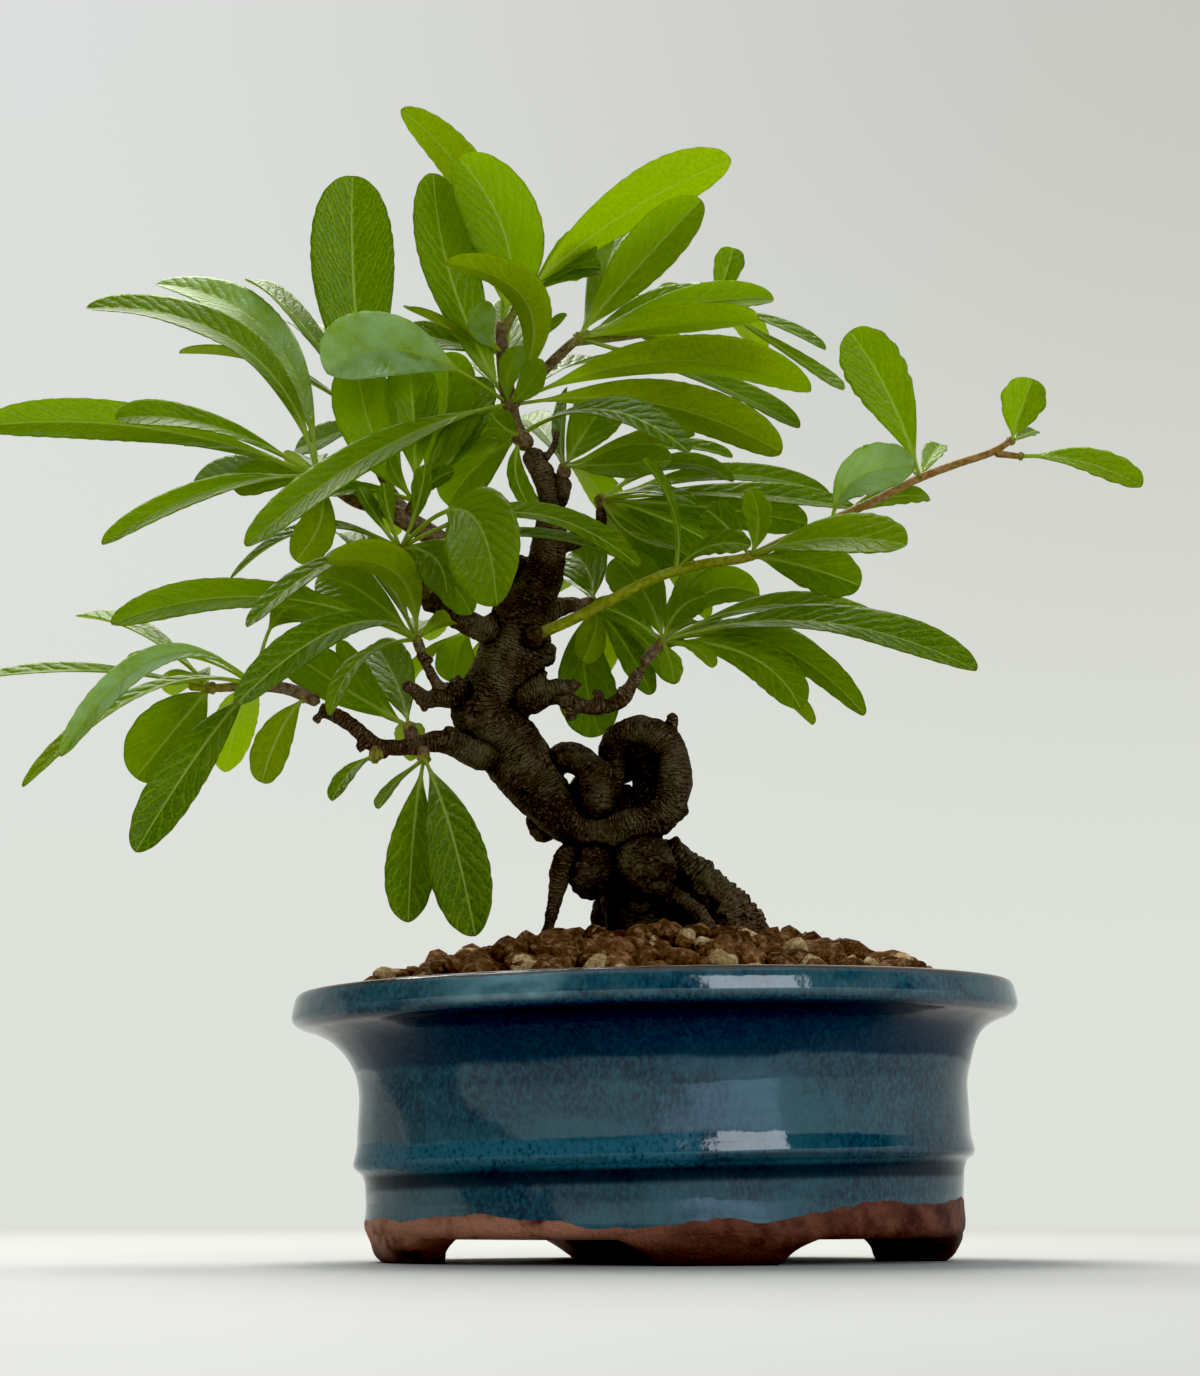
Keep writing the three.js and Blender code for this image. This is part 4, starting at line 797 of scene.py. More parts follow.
def old_bark():
    """Brown-grey bark with fine wrinkles across the limb, dark in folds and pores and paler where it
    is worn. A film of green algae clings to the old wood in patches, and the twigs are redder. Hollows
    and the creases where limbs meet are painted near black as shade. Near the soil the left side is
    painted darker as shade, and the right side gets pale speckles as painted light."""
    finish = Finish("old_bark")
    run, crease, youth, hollow = (finish.note(label) for label in ("run", "crease", "youth", "hollow"))
    coarse = finish.noise(11, 3)
    fine = finish.noise(0.9, 4)
    speck = finish.noise(0.8, 3)
    folds = ((run + 4.2 * finish.noise(5, 4)) / 0.85).fraction()
    folds = (folds - 0.5).size() * 2
    furrow = folds.ramp(0.5, 0.0) * finish.noise(4.5, 3).ramp(0.40, 0.58)
    patch = finish.noise(4.2, 3)
    bark = finish.mix(coarse.ramp(0.36, 0.64), (0.030, 0.018, 0.010), (0.090, 0.062, 0.039))
    bark = finish.mix(0.5 * speck.ramp(0.54, 0.68), bark, (0.170, 0.135, 0.092))
    green = finish.noise(11, 3).ramp(0.48, 0.68) * (1 - youth)
    bark = finish.mix(0.5 * green, bark, (0.088, 0.080, 0.030))
    twig = finish.mix(coarse.ramp(0.3, 0.7), (0.074, 0.040, 0.022), (0.165, 0.105, 0.064))
    twig = finish.mix(0.5 * speck.ramp(0.54, 0.66), twig, (0.26, 0.20, 0.14))
    bark = finish.mix(0.75 * youth, bark, twig)
    bark = finish.mix(0.45 * patch.ramp(0.5, 0.36), bark, (0.022, 0.014, 0.008))
    bark = finish.mix(0.75 * furrow, bark, (0.010, 0.006, 0.004))
    bark = finish.mix(0.7 * fine.ramp(0.43, 0.30), bark, (0.008, 0.005, 0.003))
    # Painted shade: the hollows are painted near black.
    bark = finish.mix(0.8 * hollow, bark, (0.008, 0.005, 0.003))
    # Painted shade: the creases where limbs meet are painted near black.
    bark = finish.mix(0.85 * crease, bark, (0.005, 0.003, 0.002))
    # Painted shade: near the soil the bark is painted darker, except on the right side.
    near_soil_shade = (finish.axis("Z") + 5 * coarse).ramp(86, 74)
    beside = (finish.axis("X") - float(POT_CENTRE[0])).ramp(7, 13)
    bark = finish.mix(0.55 * near_soil_shade * (1 - beside), bark, (0.016, 0.011, 0.008))
    # Painted light: pale speckles near the soil on the lit right side.
    bark = finish.mix(0.5 * near_soil_shade * beside * speck.ramp(0.4, 0.6), bark, (0.200, 0.120, 0.075))
    relief = fine + 0.8 * folds.ramp(0.0, 0.5) + 0.7 * speck + (0.3 + 1.4 * near_soil_shade) * patch
    skin = finish.bump(relief, 0.42)
    return finish.done(finish.surface(Base_Color=bark, Roughness=0.85, IOR=1.2, Normal=skin))


SKIN_VOXEL = 0.44
ROOT_CROWN_TOP = 88
limbs = [stretch_of(stations) for stations in WOOD]
wood_parts = []
for number, (line, radius) in enumerate(limbs):
    fold = 0.014 * radius.mean() ** 0.7
    wood_parts.append(tube(line, radius, 40 if radius.mean() > 3 else 20, fold, 1.9, number))
for number, (x, z, y, radius) in enumerate(KNOBS):
    wood_parts.append(knob(seen([x, z, y]), radius, 60 + number))
wood_blank = add_object("wood_blank", make_mesh("wood_blank", wood_parts))
points, normals, quads = melted(wood_blank, SKIN_VOXEL)
bpy.data.objects.remove(wood_blank)
first, second, run, girth = nearest_limbs(points, limbs)
# Painted shade: this mask marks the creases where two limbs meet. It paints them near black and sinks
# the skin a little.
crease = 0.65 * np.exp(-((second - first).clip(0) / 0.65) ** 2) * (girth > 2.2)
# Hollows are sunk into the skin and painted near black as shade.
hollow = np.clip(ripple(points, 5, 34) - 1.25, 0, 1)
rough = np.clip(girth / 4, 0.35, 1)
crown = np.clip((ROOT_CROWN_TOP - points[:, 2]) / 6, 0, 1)
relief = (0.24 + 0.24 * crown) * ripple(points, 8, 31) * rough
flaky = crown * np.clip((points[:, 0] - POT_CENTRE[0]) / 8, 0, 1)
relief += (0.07 + (0.12 * crown + 0.3 * flaky) * rough) * ripple(points, 2.6, 32)
relief += (0.07 + 0.14 * flaky) * ripple(points, 1.2, 33)
points += normals * (relief - 0.7 * hollow * rough - 0.6 * crease)[:, None]
high = np.clip((points[:, 2] - 138) / 16, 0, 1)
youth = np.maximum(np.clip((2.7 - girth) / 1.2, 0, 1), 0.6 * high)
notes = {"run": [run], "crease": [crease], "youth": [youth], "hollow": [hollow]}
wood_mesh = make_mesh("trunk_and_roots", [(points, quads, np.zeros((0, 3), int))], notes)
place_piece("trunk_and_roots", wood_mesh, [old_bark()], ["trunk"])


# The leafy sprays, one piece to each CAD node. Leathery firethorn leaves on short stalks, crowded in
# whorls at the ends of twigs: each is narrow at its base, widest past the middle and finely toothed.
LEAF_FOLD = 0.29
LEAF_HALF_THICKNESS = 0.17
STALK_RADIUS = 0.48
TOOTH_PITCH = 2.0
# Where a leaf has points across it, as shares of its half width
COLUMNS = np.array([-1, -0.86, -0.5, -0.12, 0, 0.12, 0.5, 0.86, 1])
# Each leaf is [tip x, tip z, tip depth, middle x, middle z, width, face, (stalk, tone, shoulder)] in
# the front view. Face turns its upper side, in degrees, from the eye towards up. Tone is 0 for a dark
# leaf and 1 for a light one, and more with a painted bluish sheen. Besides the leaf's own green, tone
# holds painted light and shade: lower for a leaf in shade and higher for a lit one. A small shoulder
# makes an oval leaf. Behind, a whorl is filled by rule: [count, first heading, last heading, length,
# rise]. Light, where it is given, darkens a shaded spray with painted shade.
SPRAYS = {
  "spray_top": {
    "stems": [
      [[-27.6, 174, 1, 2.1], [-31, 179, 2, 2], [-32.4, 186, 3, 1.8], [-33.6, 194, 4, 1.5],
        [-34.2, 203.4, 5, 1.2]],
      [[-31.8, 183.4, 3, 1.3], [-26, 190.4, 1, 1.2], [-19, 197.6, -1, 1.1], [-14.6, 201.2, -1, 0.8]],
      [[-33.8, 200, 4.6, 1], [-30.6, 207, 4, 0.9], [-27.2, 215, 3, 0.5]],
      [[-18, 198.4, -1, 0.9], [-5, 200, 14, 0.85], [7, 202.6, 27, 0.8], [13.4, 207.4, 34, 0.7]],
    ],
    "whorls": [
      { "at": [-32.2, 184, 2.6], "leaves": [
        [-49.5, 238, 2, -44.6, 211, 14, 20, 0.1, 0.35, 0.8],
        [-72.4, 191.2, -26, -55, 196.4, 18, 42, 0.24, 1.5, 0.8],
        [-46.5, 217, -27, -27.8, 206.5, 11, 150, 0.1, 0.3],
        [34.3, 187.6, -18, 2, 194.3, 13, 140, 0.12, 1.0],
        [27.6, 173.2, -9, -1, 184.6, 12.5, 150, 0.12, 0.25],
        [-89.3, 152, -36, -60, 174, 9.4, 40, 0.1, 0.8],
        [-29.2, 197.4, -13, -32.4, 191, 5.5, 20, 0.1, 1.25],
        [-24.8, 194.4, -16, -27.8, 188.6, 6.5, 15, 0.1, 1.2],
      ], "behind": [3, 40, 130, 40, 36] },
      { "at": [-29.4, 177, 1.6], "leaves": [
        [7.3, 173.2, -28, -11.5, 182.8, 9, 60],
        [-36.4, 182.4, -12, -33.2, 178.8, 6.5, 10],
        [-45.6, 161.4, 22, -38.6, 170.6, 13, 15],
        [-25.6, 158.6, -9, -30.6, 167.5, 6, 30],
      ] },
      { "at": [-33.8, 196, 4.2], "leaves": [
        [-55.6, 206.6, -6, -47, 202.6, 7, 100],
        [-55.5, 201.6, 16, -46, 198.6, 8, 40],
        [-38.3, 208.2, -12, -38.6, 202, 7.5, 20, 0.1, 1.5],
        [-19.5, 204.8, -7, -26, 199.6, 5, 60, 0.1, 1.0],
      ], "behind": [1, 120, 160, 38, 22] },
      { "at": [-33.9, 202.6, 5], "leaves": [
        [-57, 253.2, 18, -39, 231, 11, 150, 0.1, 0.6, 0.8],
        [-44, 241.8, -4, -33, 222, 18, 15, 0.1, 0.95, 0.74],
      ], "behind": [1, 40, 80, 40, 46] },
      { "at": [-30, 208.4, 4], "leaves": [
        [17.2, 241.2, 4, -7.6, 228, 14, 150, 0.1, 0.85, 0.85],
        [-12, 215.6, 8, -20.5, 214.6, 9, 40],
        [-14.6, 222.4, 8, -20, 217.6, 9, 20],
      ] },
      { "at": [-17, 199.4, -1], "leaves": [
        [10.4, 231.8, -12, -5, 214.5, 13, 20, 0.1, 1.05],
        [-8.2, 225.4, 19, -11.4, 213, 9, 20],
        [23, 204, -12, 3, 202.4, 10.5, 130],
        [26.3, 208.6, 8, 6, 206.8, 10, 45],
        [12, 210.8, 18, -2, 206.4, 8, 50],
        [31.7, 178.9, 8, 10, 190, 10, 60],
      ], "behind": [2, 30, 90, 40, 14] },
      { "at": [13, 207, 33.6], "leaves": [
        [17.4, 220.4, 37, 15.6, 214, 7.4, 0],
        [37.5, 196.6, 26, 26, 202.8, 6.5, 70],
        [41.3, 187.4, 20, 30, 195.4, 6, 60],
      ], "behind": [2, 40, 130, 34, 8] },
    ],
  },
  "spray_upper_left": {
    "stems": [
      [[-43, 150.4, 2, 2.4], [-53, 157, -1, 2.3], [-59.5, 160.4, -4, 1.7], [-66, 162.4, -7, 1.4],
        [-72, 166.6, -9, 1.2], [-75, 168.2, -10, 1]],
      [[-51, 155.6, 0, 1.7], [-57, 163, 5, 1.3], [-61.6, 172, 8, 1.1], [-63.6, 182, 8, 0.9]],
      [[-54.4, 158, -1.6, 1.3], [-52.6, 162.4, -4, 1.2]],
    ],
    "whorls": [
      { "at": [-52.6, 162, -4], "leaves": [
        [-66, 195, -7, -61.6, 176, 14, 0, 0.12, 1.0],
        [-54.4, 194, -3, -53, 178, 12, 0, 0.2, 0.5],
        [-46.4, 196, 3, -46.8, 179, 14, 10, 0.16, 0.85],
        [-39, 190.5, 6, -43.4, 177, 12, 20],
        [-58.6, 172.4, -15, -57, 168, 4, 30],
        [-35.4, 179.6, 2, -43.6, 172.6, 13, 20],
        [-71.4, 163.4, -18, -62.6, 164.6, 5, 60],
        [-44, 169, -19, -48.6, 166.6, 4.4, 30],
      ] },
      { "at": [-63.4, 181, 8], "leaves": [
        [-67.6, 237.4, 3, -66.8, 211, 19.5, 0, 0.1, 0.0, 0.7],
        [-90.2, 212.4, 22, -79, 203.4, 10, 60],
        [-79, 174, 32, -71, 177, 8, 50],
      ], "behind": [3, 85, 185, 42, 30] },
      { "at": [-74, 167.6, -9.6], "leaves": [
        [-148, 179, -34, -111, 178.6, 10.5, 35],
        [-118.6, 180.8, -46, -97, 179, 8.5, 55],
        [-103.2, 174.6, 2, -91, 173.6, 7, 80],
        [-101.2, 166.2, 22, -89, 168.6, 10, 45],
        [-92.4, 165.8, -6, -84, 167.2, 9, 30],
        [-120.6, 152.4, -16, -97, 164.6, 7.5, 50],
        [-78.4, 148.8, -17, -73, 158.4, 9, 170],
        [-126, 206.4, 2, -91.5, 197.4, 12, 50, 0.1, 0.4],
        [-110.6, 212, 28, -85, 199.6, 11, 30, 0.1, 1.4],
      ], "behind": [2, 50, 120, 44, 4] },
    ],
  },
  "spray_middle_left": {
    "light": 0.7,
    "stems": [
      [[-48.4, 139.6, -9, 2], [-52, 145.4, -11, 1.5], [-55.6, 151.4, -12.4, 1.3]],
    ],
    "whorls": [
      { "at": [-55.6, 151.4, -12.4], "leaves": [
        [-34.5, 138.7, -42, -41.2, 159.6, 18, 15, 0.3, 0.75],
        [-45.4, 141.4, -25, -48.2, 149.4, 10, 10],
        [-3.6, 147.3, -26, -29, 159.4, 7.5, 55],
        [-9, 149.6, -18, -30, 154.6, 5.5, 70],
        [-88.6, 134, -36, -72, 147.6, 6, 55],
        [-72.2, 149.4, -6, -64, 150.8, 6, 70],
        [-40, 136.8, -20, -46.6, 146, 8, 0],
        [-65, 165.4, -17, -61, 158.4, 4.6, 40, 0.3],
        [-59.6, 166.4, -19, -58.4, 159.4, 4.4, 30, 0.3],
        [-50.4, 170.4, -26, -52, 161, 4.6, 20, 0.3],
        [-92.6, 144.3, 2, -75, 156, 6.5, 70],
      ] },
    ],
  },
  "spray_spur_left": {
    "stems": [
      [[-50.6, 128, -7.4, 1.1], [-51.9, 131.6, -8, 1.2]],
    ],
    "whorls": [
      { "at": [-51.9, 131.2, -8], "leaves": [
        [-118, 134.7, -26, -85, 140.6, 9.5, 40],
        [-71.6, 148.8, -32, -56.4, 146, 11, 150],
        [-73.6, 145, 8, -64, 142, 11, 0],
        [-90.6, 116.8, -42, -68, 134, 9, 40],
        [-70.2, 114.6, -27, -63.6, 127, 5, 55],
        [-44.2, 135.4, -14, -47, 135, 5, 150],
      ], "behind": [2, 80, 140, 40, 24] },
    ],
  },
  "spray_lower_left": {
    "stems": [
      [[-72.4, 117.4, -12.8, 1.4], [-79.6, 120.4, -13, 1.3], [-88, 121, -14, 1.1],
        [-95, 120.6, -15, 0.9], [-101, 120.8, -16, 0.7]],
    ],
    "whorls": [
      { "at": [-75.6, 118.6, -13], "leaves": [
        [-84.6, 100, -22, -80.8, 111.2, 8.5, 170],
      ] },
      { "at": [-86.6, 121, -13.8], "leaves": [
        [-127.8, 105.6, -40, -107, 127.4, 6.4, 40, 0.1, 1.5],
        [-135.6, 99, -36, -110, 119.8, 6, 65],
        [-69.8, 131.5, 10, -80.6, 137.6, 13, 10, 0.3],
        [-111, 85, -36, -97.4, 107.6, 10.5, 15, 0.1, 0.05, 1.15],
      ], "behind": [2, 80, 160, 40, -6] },
      { "at": [-96, 120.6, -15.2], "leaves": [
        [-111.6, 101, -10, -102, 113.4, 15, 10],
        [-148, 122.3, -16, -122, 124.4, 5.5, 70],
        [-105, 121.2, -9, -101, 122.4, 5, 120],
      ], "behind": [2, 90, 175, 38, 14] },
    ],
  },
  "leaves_under_branch": {
    "stems": [
      [[-50.2, 107.8, -10, 1.3], [-49.8, 104.6, -12, 1.3]],
    ],
    "whorls": [
      { "at": [-49.9, 105.2, -11.8], "leaves": [
        [-52.8, 70, -30, -51.8, 90, 10.6, 10, 0.1, 0.2, 1.3],
        [-38.5, 67.1, -42, -44.2, 90.6, 13, -10, 0.1, 0.15, 1.25],
        [-59.4, 94.3, -24, -55.6, 100, 4.5, 60],
      ] },
    ],
  },
  "leaf_under_bend": {
    "stems": [
      [[-60.2, 108, -11, 1.3], [-60.4, 105.6, -12.4, 1.1]],
    ],
    "whorls": [
      { "at": [-60.3, 105.9, -12.2], "leaves": [
        [-69.4, 96, -22, -65.4, 102.4, 4.6, 45],
      ] },
    ],
  },
  "leaves_on_branch": {
    "stems": [
      [[-52.6, 108.8, -9, 1.5], [-53.4, 112.6, -8, 1.2]],
    ],
    "whorls": [
      { "at": [-53.3, 112.2, -8.2], "leaves": [
        [-68.4, 131, 3, -61, 118.4, 6, 10],
        [-61, 130.4, 12, -56, 121.6, 11, 0],
        [-82, 130.6, -2, -68, 121, 11, 10],
      ], "behind": [1, 80, 120, 32, 4] },
    ],
  },
  "spray_lower_right": {
    "stems": [
      [[-3.2, 125.2, -5, 1.2], [0, 129.4, -5, 1.2], [3, 130.4, -5, 0.9], [6.4, 131, -5, 0.6]],
    ],
    "whorls": [
      { "at": [1.4, 130.6, -5], "leaves": [
        [69, 124.4, -28, 35, 135, 11.5, 55],
        [50.6, 133.7, -10, 26, 138.8, 8, 60],
        [36, 128.5, 8, 19, 134.6, 5.5, 70],
        [44.6, 114.6, -8, 24, 130.6, 8.5, 40],
        [31, 116, -12, 20, 127.6, 10, 20],
        [12, 125, -14, 8, 129.4, 5, 55],
        [3.8, 121.6, -16, 3, 126.4, 5, 0],
        [11, 141, -20, 5, 138, 7, 0],
        [22.4, 141.2, 12, 11, 141.6, 10, 20],
        [14, 146.4, 22, 7, 141.4, 9, 10],
        [-9, 149.4, 12, -2, 140.6, 12, 0],
        [-14, 139, -2, -6, 136, 6.5, 35],
      ], "behind": [2, 24, 90, 42, -8] },
    ],
  },
  "spray_behind_trunk": {
    "light": 0.25,
    "stems": [
      [[-17, 139, 11.6, 1.3], [-13.6, 139.6, 14.4, 1.4]],
    ],
    "whorls": [
      { "at": [-13.8, 139.5, 14.2], "leaves": [
        [-16, 126.4, 10, -13.2, 133.8, 7.5, 160],
        [-12, 110.2, 26, -15.6, 125, 14, 0],
        [-1, 119.2, 20, -7, 130.4, 6.5, 0],
        [4.4, 121.6, 26, -3.4, 132, 6.5, 0],
        [-18.4, 150.6, 24, -14.6, 146, 12, 0],
      ], "behind": [3, 66, 150, 40, -4] },
    ],
  },
  "leaf_beside_trunk": {
    "stems": [
      [[-37.8, 132.8, 8.4, 1.2], [-40, 133.4, 10, 1]],
    ],
    "whorls": [
      { "at": [-39.8, 133.3, 9.8], "leaves": [
        [-43.8, 121.8, 8, -42.8, 128.6, 9, 10],
      ], "behind": [1, 110, 150, 36, -12] },
    ],
  },
  "long_shoot": {
    "stems": [
      [[-26.2, 132.2, -7.4, 1.3], [-18, 135.8, -11, 1.2], [-8, 141, -13, 1.15], [1, 145.4, -15, 1.1],
        [10, 148, -16, 1.05], [20, 149.6, -17, 1], [29, 153.8, -16, 0.95], [38, 157.7, -15, 0.95],
        [48, 162.4, -13, 0.9], [57.5, 167.3, -11, 0.9], [66, 170.6, -10, 0.85], [74, 173.4, -9, 0.8],
        [78.4, 176.2, -8.4, 0.7]],
      [[74, 173, -9, 0.8], [80.6, 172.2, -10, 0.6]],
    ],
    "whorls": [
      { "at": [4.2, 146.6, -15.4], "leaves": [
        [-3, 171.6, -30, 3.6, 160, 6, 70],
        [20.6, 152, -30, 12, 152, 6, 40],
      ] },
      { "at": [20.6, 149.8, -17], "leaves": [
        [20.8, 165, -27, 22.4, 157.4, 6.5, 10, 0.1, 0.95],
        [11, 160.2, -8, 15.6, 156.2, 8, 0],
        [54.6, 152.3, -38, 37, 153.6, 12, 45],
        [44.3, 143.2, -16, 32, 147.5, 11, 15],
      ] },
      { "at": [38.4, 157.8, -15], "leaves": [
        [56.8, 169.8, -26, 44, 167, 11.5, 30, 0.1, 1.55],
        [59.8, 162.8, -2, 50, 162.6, 6, 40],
      ] },
      { "at": [57.7, 167.4, -11], "leaves": [
        [43, 201, -18, 51.8, 185.5, 13.4, 0, 0.1, 0.6, 1.1],
        [62.4, 175, 6, 60.2, 172, 5, 20, 0.1, 1.3],
      ], "behind": [1, 95, 125, 34, 34] },
      { "at": [78, 175.8, -8.4], "leaves": [
        [83.2, 190, -12, 80.2, 182.4, 10, 10, 0.1, 1.0],
        [83.4, 178.2, 6, 81, 177.2, 3.4, 40],
      ] },
      { "at": [80, 172.3, -10], "leaves": [
        [106.2, 165.4, -18, 93.4, 171, 9, 50],
      ] },
    ],
  },
  "spray_upper_right": {
    "stems": [
      [[-20.2, 167, 0, 1.7], [-20, 170.4, 0, 1.5]],
    ],
    "whorls": [
      { "at": [-20, 169.8, 0], "leaves": [
        [-9, 187, 22, -15.4, 178, 12, 0],
        [8.6, 177.4, -9, -6, 174.6, 8, 120],
        [3.6, 171.4, -18, -8, 170.4, 9, 30],
        [-19.6, 188, 10, -20.6, 178, 6, 60],
        [16.8, 172, 2, 2, 174.4, 6, 60],
      ], "behind": [2, 60, 130, 40, 12] },
    ],
  },
  "spray_middle_right": {
    "light": 0.35,
    "stems": [
      [[-12, 160, 7.3, 1.2], [-11.8, 163, 7.6, 1.3]],
    ],
    "whorls": [
      { "at": [-11.8, 162.4, 7.6], "leaves": [
        [38, 163.6, 20, 14, 168, 8, 55],
        [43.6, 160.4, 4, 16, 163.8, 8, 60],
        [33, 157, 8, 14, 160.4, 10, 20],
        [14, 151.4, 10, 2, 158, 11, 25],
        [8, 149.6, 20, -2, 155, 12, 0],
        [4, 151.3, -4, -6, 155, 5, 60],
        [17, 166.6, 12, 3, 170.4, 7, 50],
        [9, 161, -6, 0, 164.4, 4, 60],
      ], "behind": [2, 34, 105, 42, -22] },
    ],
  },
}


def chance(number):
    """A number of 0 to 1 that is always the same for a whole number: the fraction of a large sine."""
    whole = np.sin(number * 12.9898) * 43758.5453
    return whole - np.floor(whole)


def leaf_skin(base, middle, tip, normal, width, seed, teeth, stalk, tone, shoulder):
    """Both sides of a leaf as one closed skin, and what its colours need at each point. The midrib is
    a parabola through base, middle and tip. At the share s of the blade the half width goes with
    s^shoulder * (1 - s)^0.5, and the blade is folded up along its midrib. Teeth are a rectified sine
    along the edge."""
    bend = 2 * middle - (base + tip) / 2
    reach = np.linalg.norm(bend - base) / 2 + np.linalg.norm(tip - bend) / 2
    rows = int(np.clip(reach / 0.72, 28, 76))
    s = np.concatenate([np.zeros(6), (1 - (1 - np.linspace(0, 0.9995, rows)) ** 1.7)])
    t = np.concatenate([np.linspace(0, stalk, 7)[:-1], stalk + (1 - stalk) * s[6:]])[:, None]
    line = (1 - t) ** 2 * base + 2 * (1 - t) * t * bend + t ** 2 * tip
    ahead = (1 - t) * (bend - base) + t * (tip - bend)
    ahead /= np.linalg.norm(ahead, axis=1)[:, None]
    axis = np.cross(bend - base, tip - bend)
    if np.linalg.norm(axis) < 1e-3 * reach ** 2:
        axis = np.cross(tip - base, normal)
    axis /= np.linalg.norm(axis)
    centre = (tip - base) / np.linalg.norm(tip - base)
    up = normal - centre * (normal @ centre)
    up /= np.linalg.norm(up)
    ups = (up @ axis) * axis + (up @ np.cross(axis, centre)) * np.cross(axis, ahead)
    sides = np.cross(ahead, ups)
    along = reach * t
    widest = shoulder / (shoulder + 0.5)
    blade = 0.5 * width * (s / widest) ** shoulder * ((1 - s) / (1 - widest)) ** 0.5
    half = np.sqrt(blade ** 2 + (0.42 * (1 - s)) ** 2)[:, None]
    start = np.clip(s / 0.3, 0, 1)[:, None]
    toothed = np.clip((s - 0.3) / 0.2, 0, 1)[:, None] * (1 - s[:, None]) ** 0.25
    bite = np.abs(np.sin(math.pi * along / TOOTH_PITCH + 3 * np.sign(COLUMNS) + 9 * chance(seed))) - 0.6
    reach_out = half + teeth * toothed * bite * (np.abs(COLUMNS) > 0.9)
    out = COLUMNS * reach_out
    edge = np.abs(COLUMNS)
    flat = start ** 0.7
    lift = LEAF_FOLD * half * edge ** 1.25 * flat
    lift += 0.04 * half * COLUMNS * np.sin(5 * t + 6 * chance(seed))
    lift += 0.05 * half * edge ** 2 * np.sin(along / 3.1 + 12 * chance(seed + 7) + 2 * COLUMNS)
    stem = STALK_RADIUS * np.sqrt(1 - COLUMNS ** 2 + 0.02)
    sheet = LEAF_HALF_THICKNESS * (1 - 0.55 * edge ** 2) * np.clip((1 - s[:, None]) * 14, 0.3, 1)
    thick = stem * (1 - flat) + sheet * flat
    groove = 0.13 * flat * (edge < 0.05)
    ridge = 0.34 * flat * (1 - s[:, None]) ** 0.6 * (edge < 0.05)
    place = line[:, None] + sides[:, None] * (0.957 * out)[..., None]
    top = place + ups[:, None] * (lift + thick - groove)[..., None]
    under = place + ups[:, None] * (lift - thick - ridge)[..., None]
    points = np.concatenate([top, under[:, ::-1]], 1)
    rib = np.concatenate([out, out[:, ::-1]], 1)
    side = np.concatenate([0 * out, 0 * out + 1], 1)
    around = 2 * len(COLUMNS)
    notes = {
        "rib": rib.ravel(),
        "along": np.repeat(along[:, 0], around),
        "blade": np.repeat(s, around),
        "underside": side.ravel(),
        "tone": np.full(len(s) * around, tone),
    }
    return (points.reshape(-1, 3), *ring_faces(len(s), around)), notes


def upper_side(base, middle, tip, face):
    """The way a leaf's upper side faces: square to its length, turned from the eye towards up."""
    length = (tip - base) / np.linalg.norm(tip - base)
    to_eye = EYE + POT_CENTRE - middle
    to_eye -= length * (to_eye @ length)
    to_eye /= np.linalg.norm(to_eye)
    up = np.cross(to_eye, length)
    if up[2] < 0:
        up = -up
    turn = math.radians(face)
    return to_eye * math.cos(turn) + up * math.sin(turn)


def drawn_leaf(base, row, seed, teeth, light):
    """A leaf that the front view shows. Its middle lies midway in depth between base and tip."""
    tip_x, tip_z, tip_y, middle_x, middle_z, width, face = row[:7]
    stalk = row[7] if len(row) > 7 else 0.1
    # Painted light and shade: the tone, given or drawn, is scaled by the spray's light, so a shaded
    # spray is painted darker.
    tone = row[8] if len(row) > 8 else light * chance(seed + 3)
    shoulder = row[9] if len(row) > 9 else 1.0
    tip = seen([tip_x, tip_z, tip_y])
    middle = seen([middle_x, middle_z, (base[1] - POT_CENTRE[1] + tip_y) / 2])
    up = upper_side(base, middle, tip, face)
    return leaf_skin(base, middle, tip, up, width, seed, teeth, stalk, tone, shoulder)


def leaf_behind(base, number, row, seed, light):
    """One of the leaves that fan out evenly over the given headings on a whorl's far side."""
    count, first, last, length, rise = row
    swing = 14 * (chance(seed) - 0.5)
    heading = math.radians(first + (last - first) * (number + 0.5) / count + swing)
    lift = math.radians(rise + (16 if number % 2 else -10) + 8 * (chance(seed + 40) - 0.5))
    reach = length * (0.86 + 0.28 * chance(seed + 80))
    level = math.cos(lift)
    out = np.array([math.cos(heading) * level, math.sin(heading) * level, math.sin(lift)])
    middle = base + out * reach / 2 + [0, 0, 0.1 * reach]
    normal = np.array([0.3 * (chance(seed + 120) - 0.5), -0.25, 1])
    tone = light * chance(seed + 3)
    return leaf_skin(base, middle, base + out * reach, normal, 0.24 * reach, seed, 0.35, 0.1, tone, 1)


def whorl_leaves(whorl, seed, teeth, light):
    """The leaves of a whorl. Their stalks leave it in the order of their depth."""
    centre = seen(whorl["at"])
    rows = whorl["leaves"]
    order = sorted(range(len(rows)), key=lambda i: rows[i][2])
    spread = min(1.2, 0.5 * len(rows))
    made = []
    for number, row in enumerate(rows):
        share = order.index(number) / (len(rows) - 1) - 0.5 if len(rows) > 1 else 0
        made.append(drawn_leaf(centre + [0, share * spread, 0], row, seed + number, teeth, light))
    if "behind" in whorl:
        for number in range(whorl["behind"][0]):
            made.append(leaf_behind(centre, number, whorl["behind"], seed + number, light))
    return made


def twig_notes(part, green, red):
    """What a twig's colours need at each point, under the labels that the leaves use."""
    none = np.zeros(len(part[0]))
    return {"rib": none + green, "along": none + red, "blade": none, "underside": none, "tone": none}


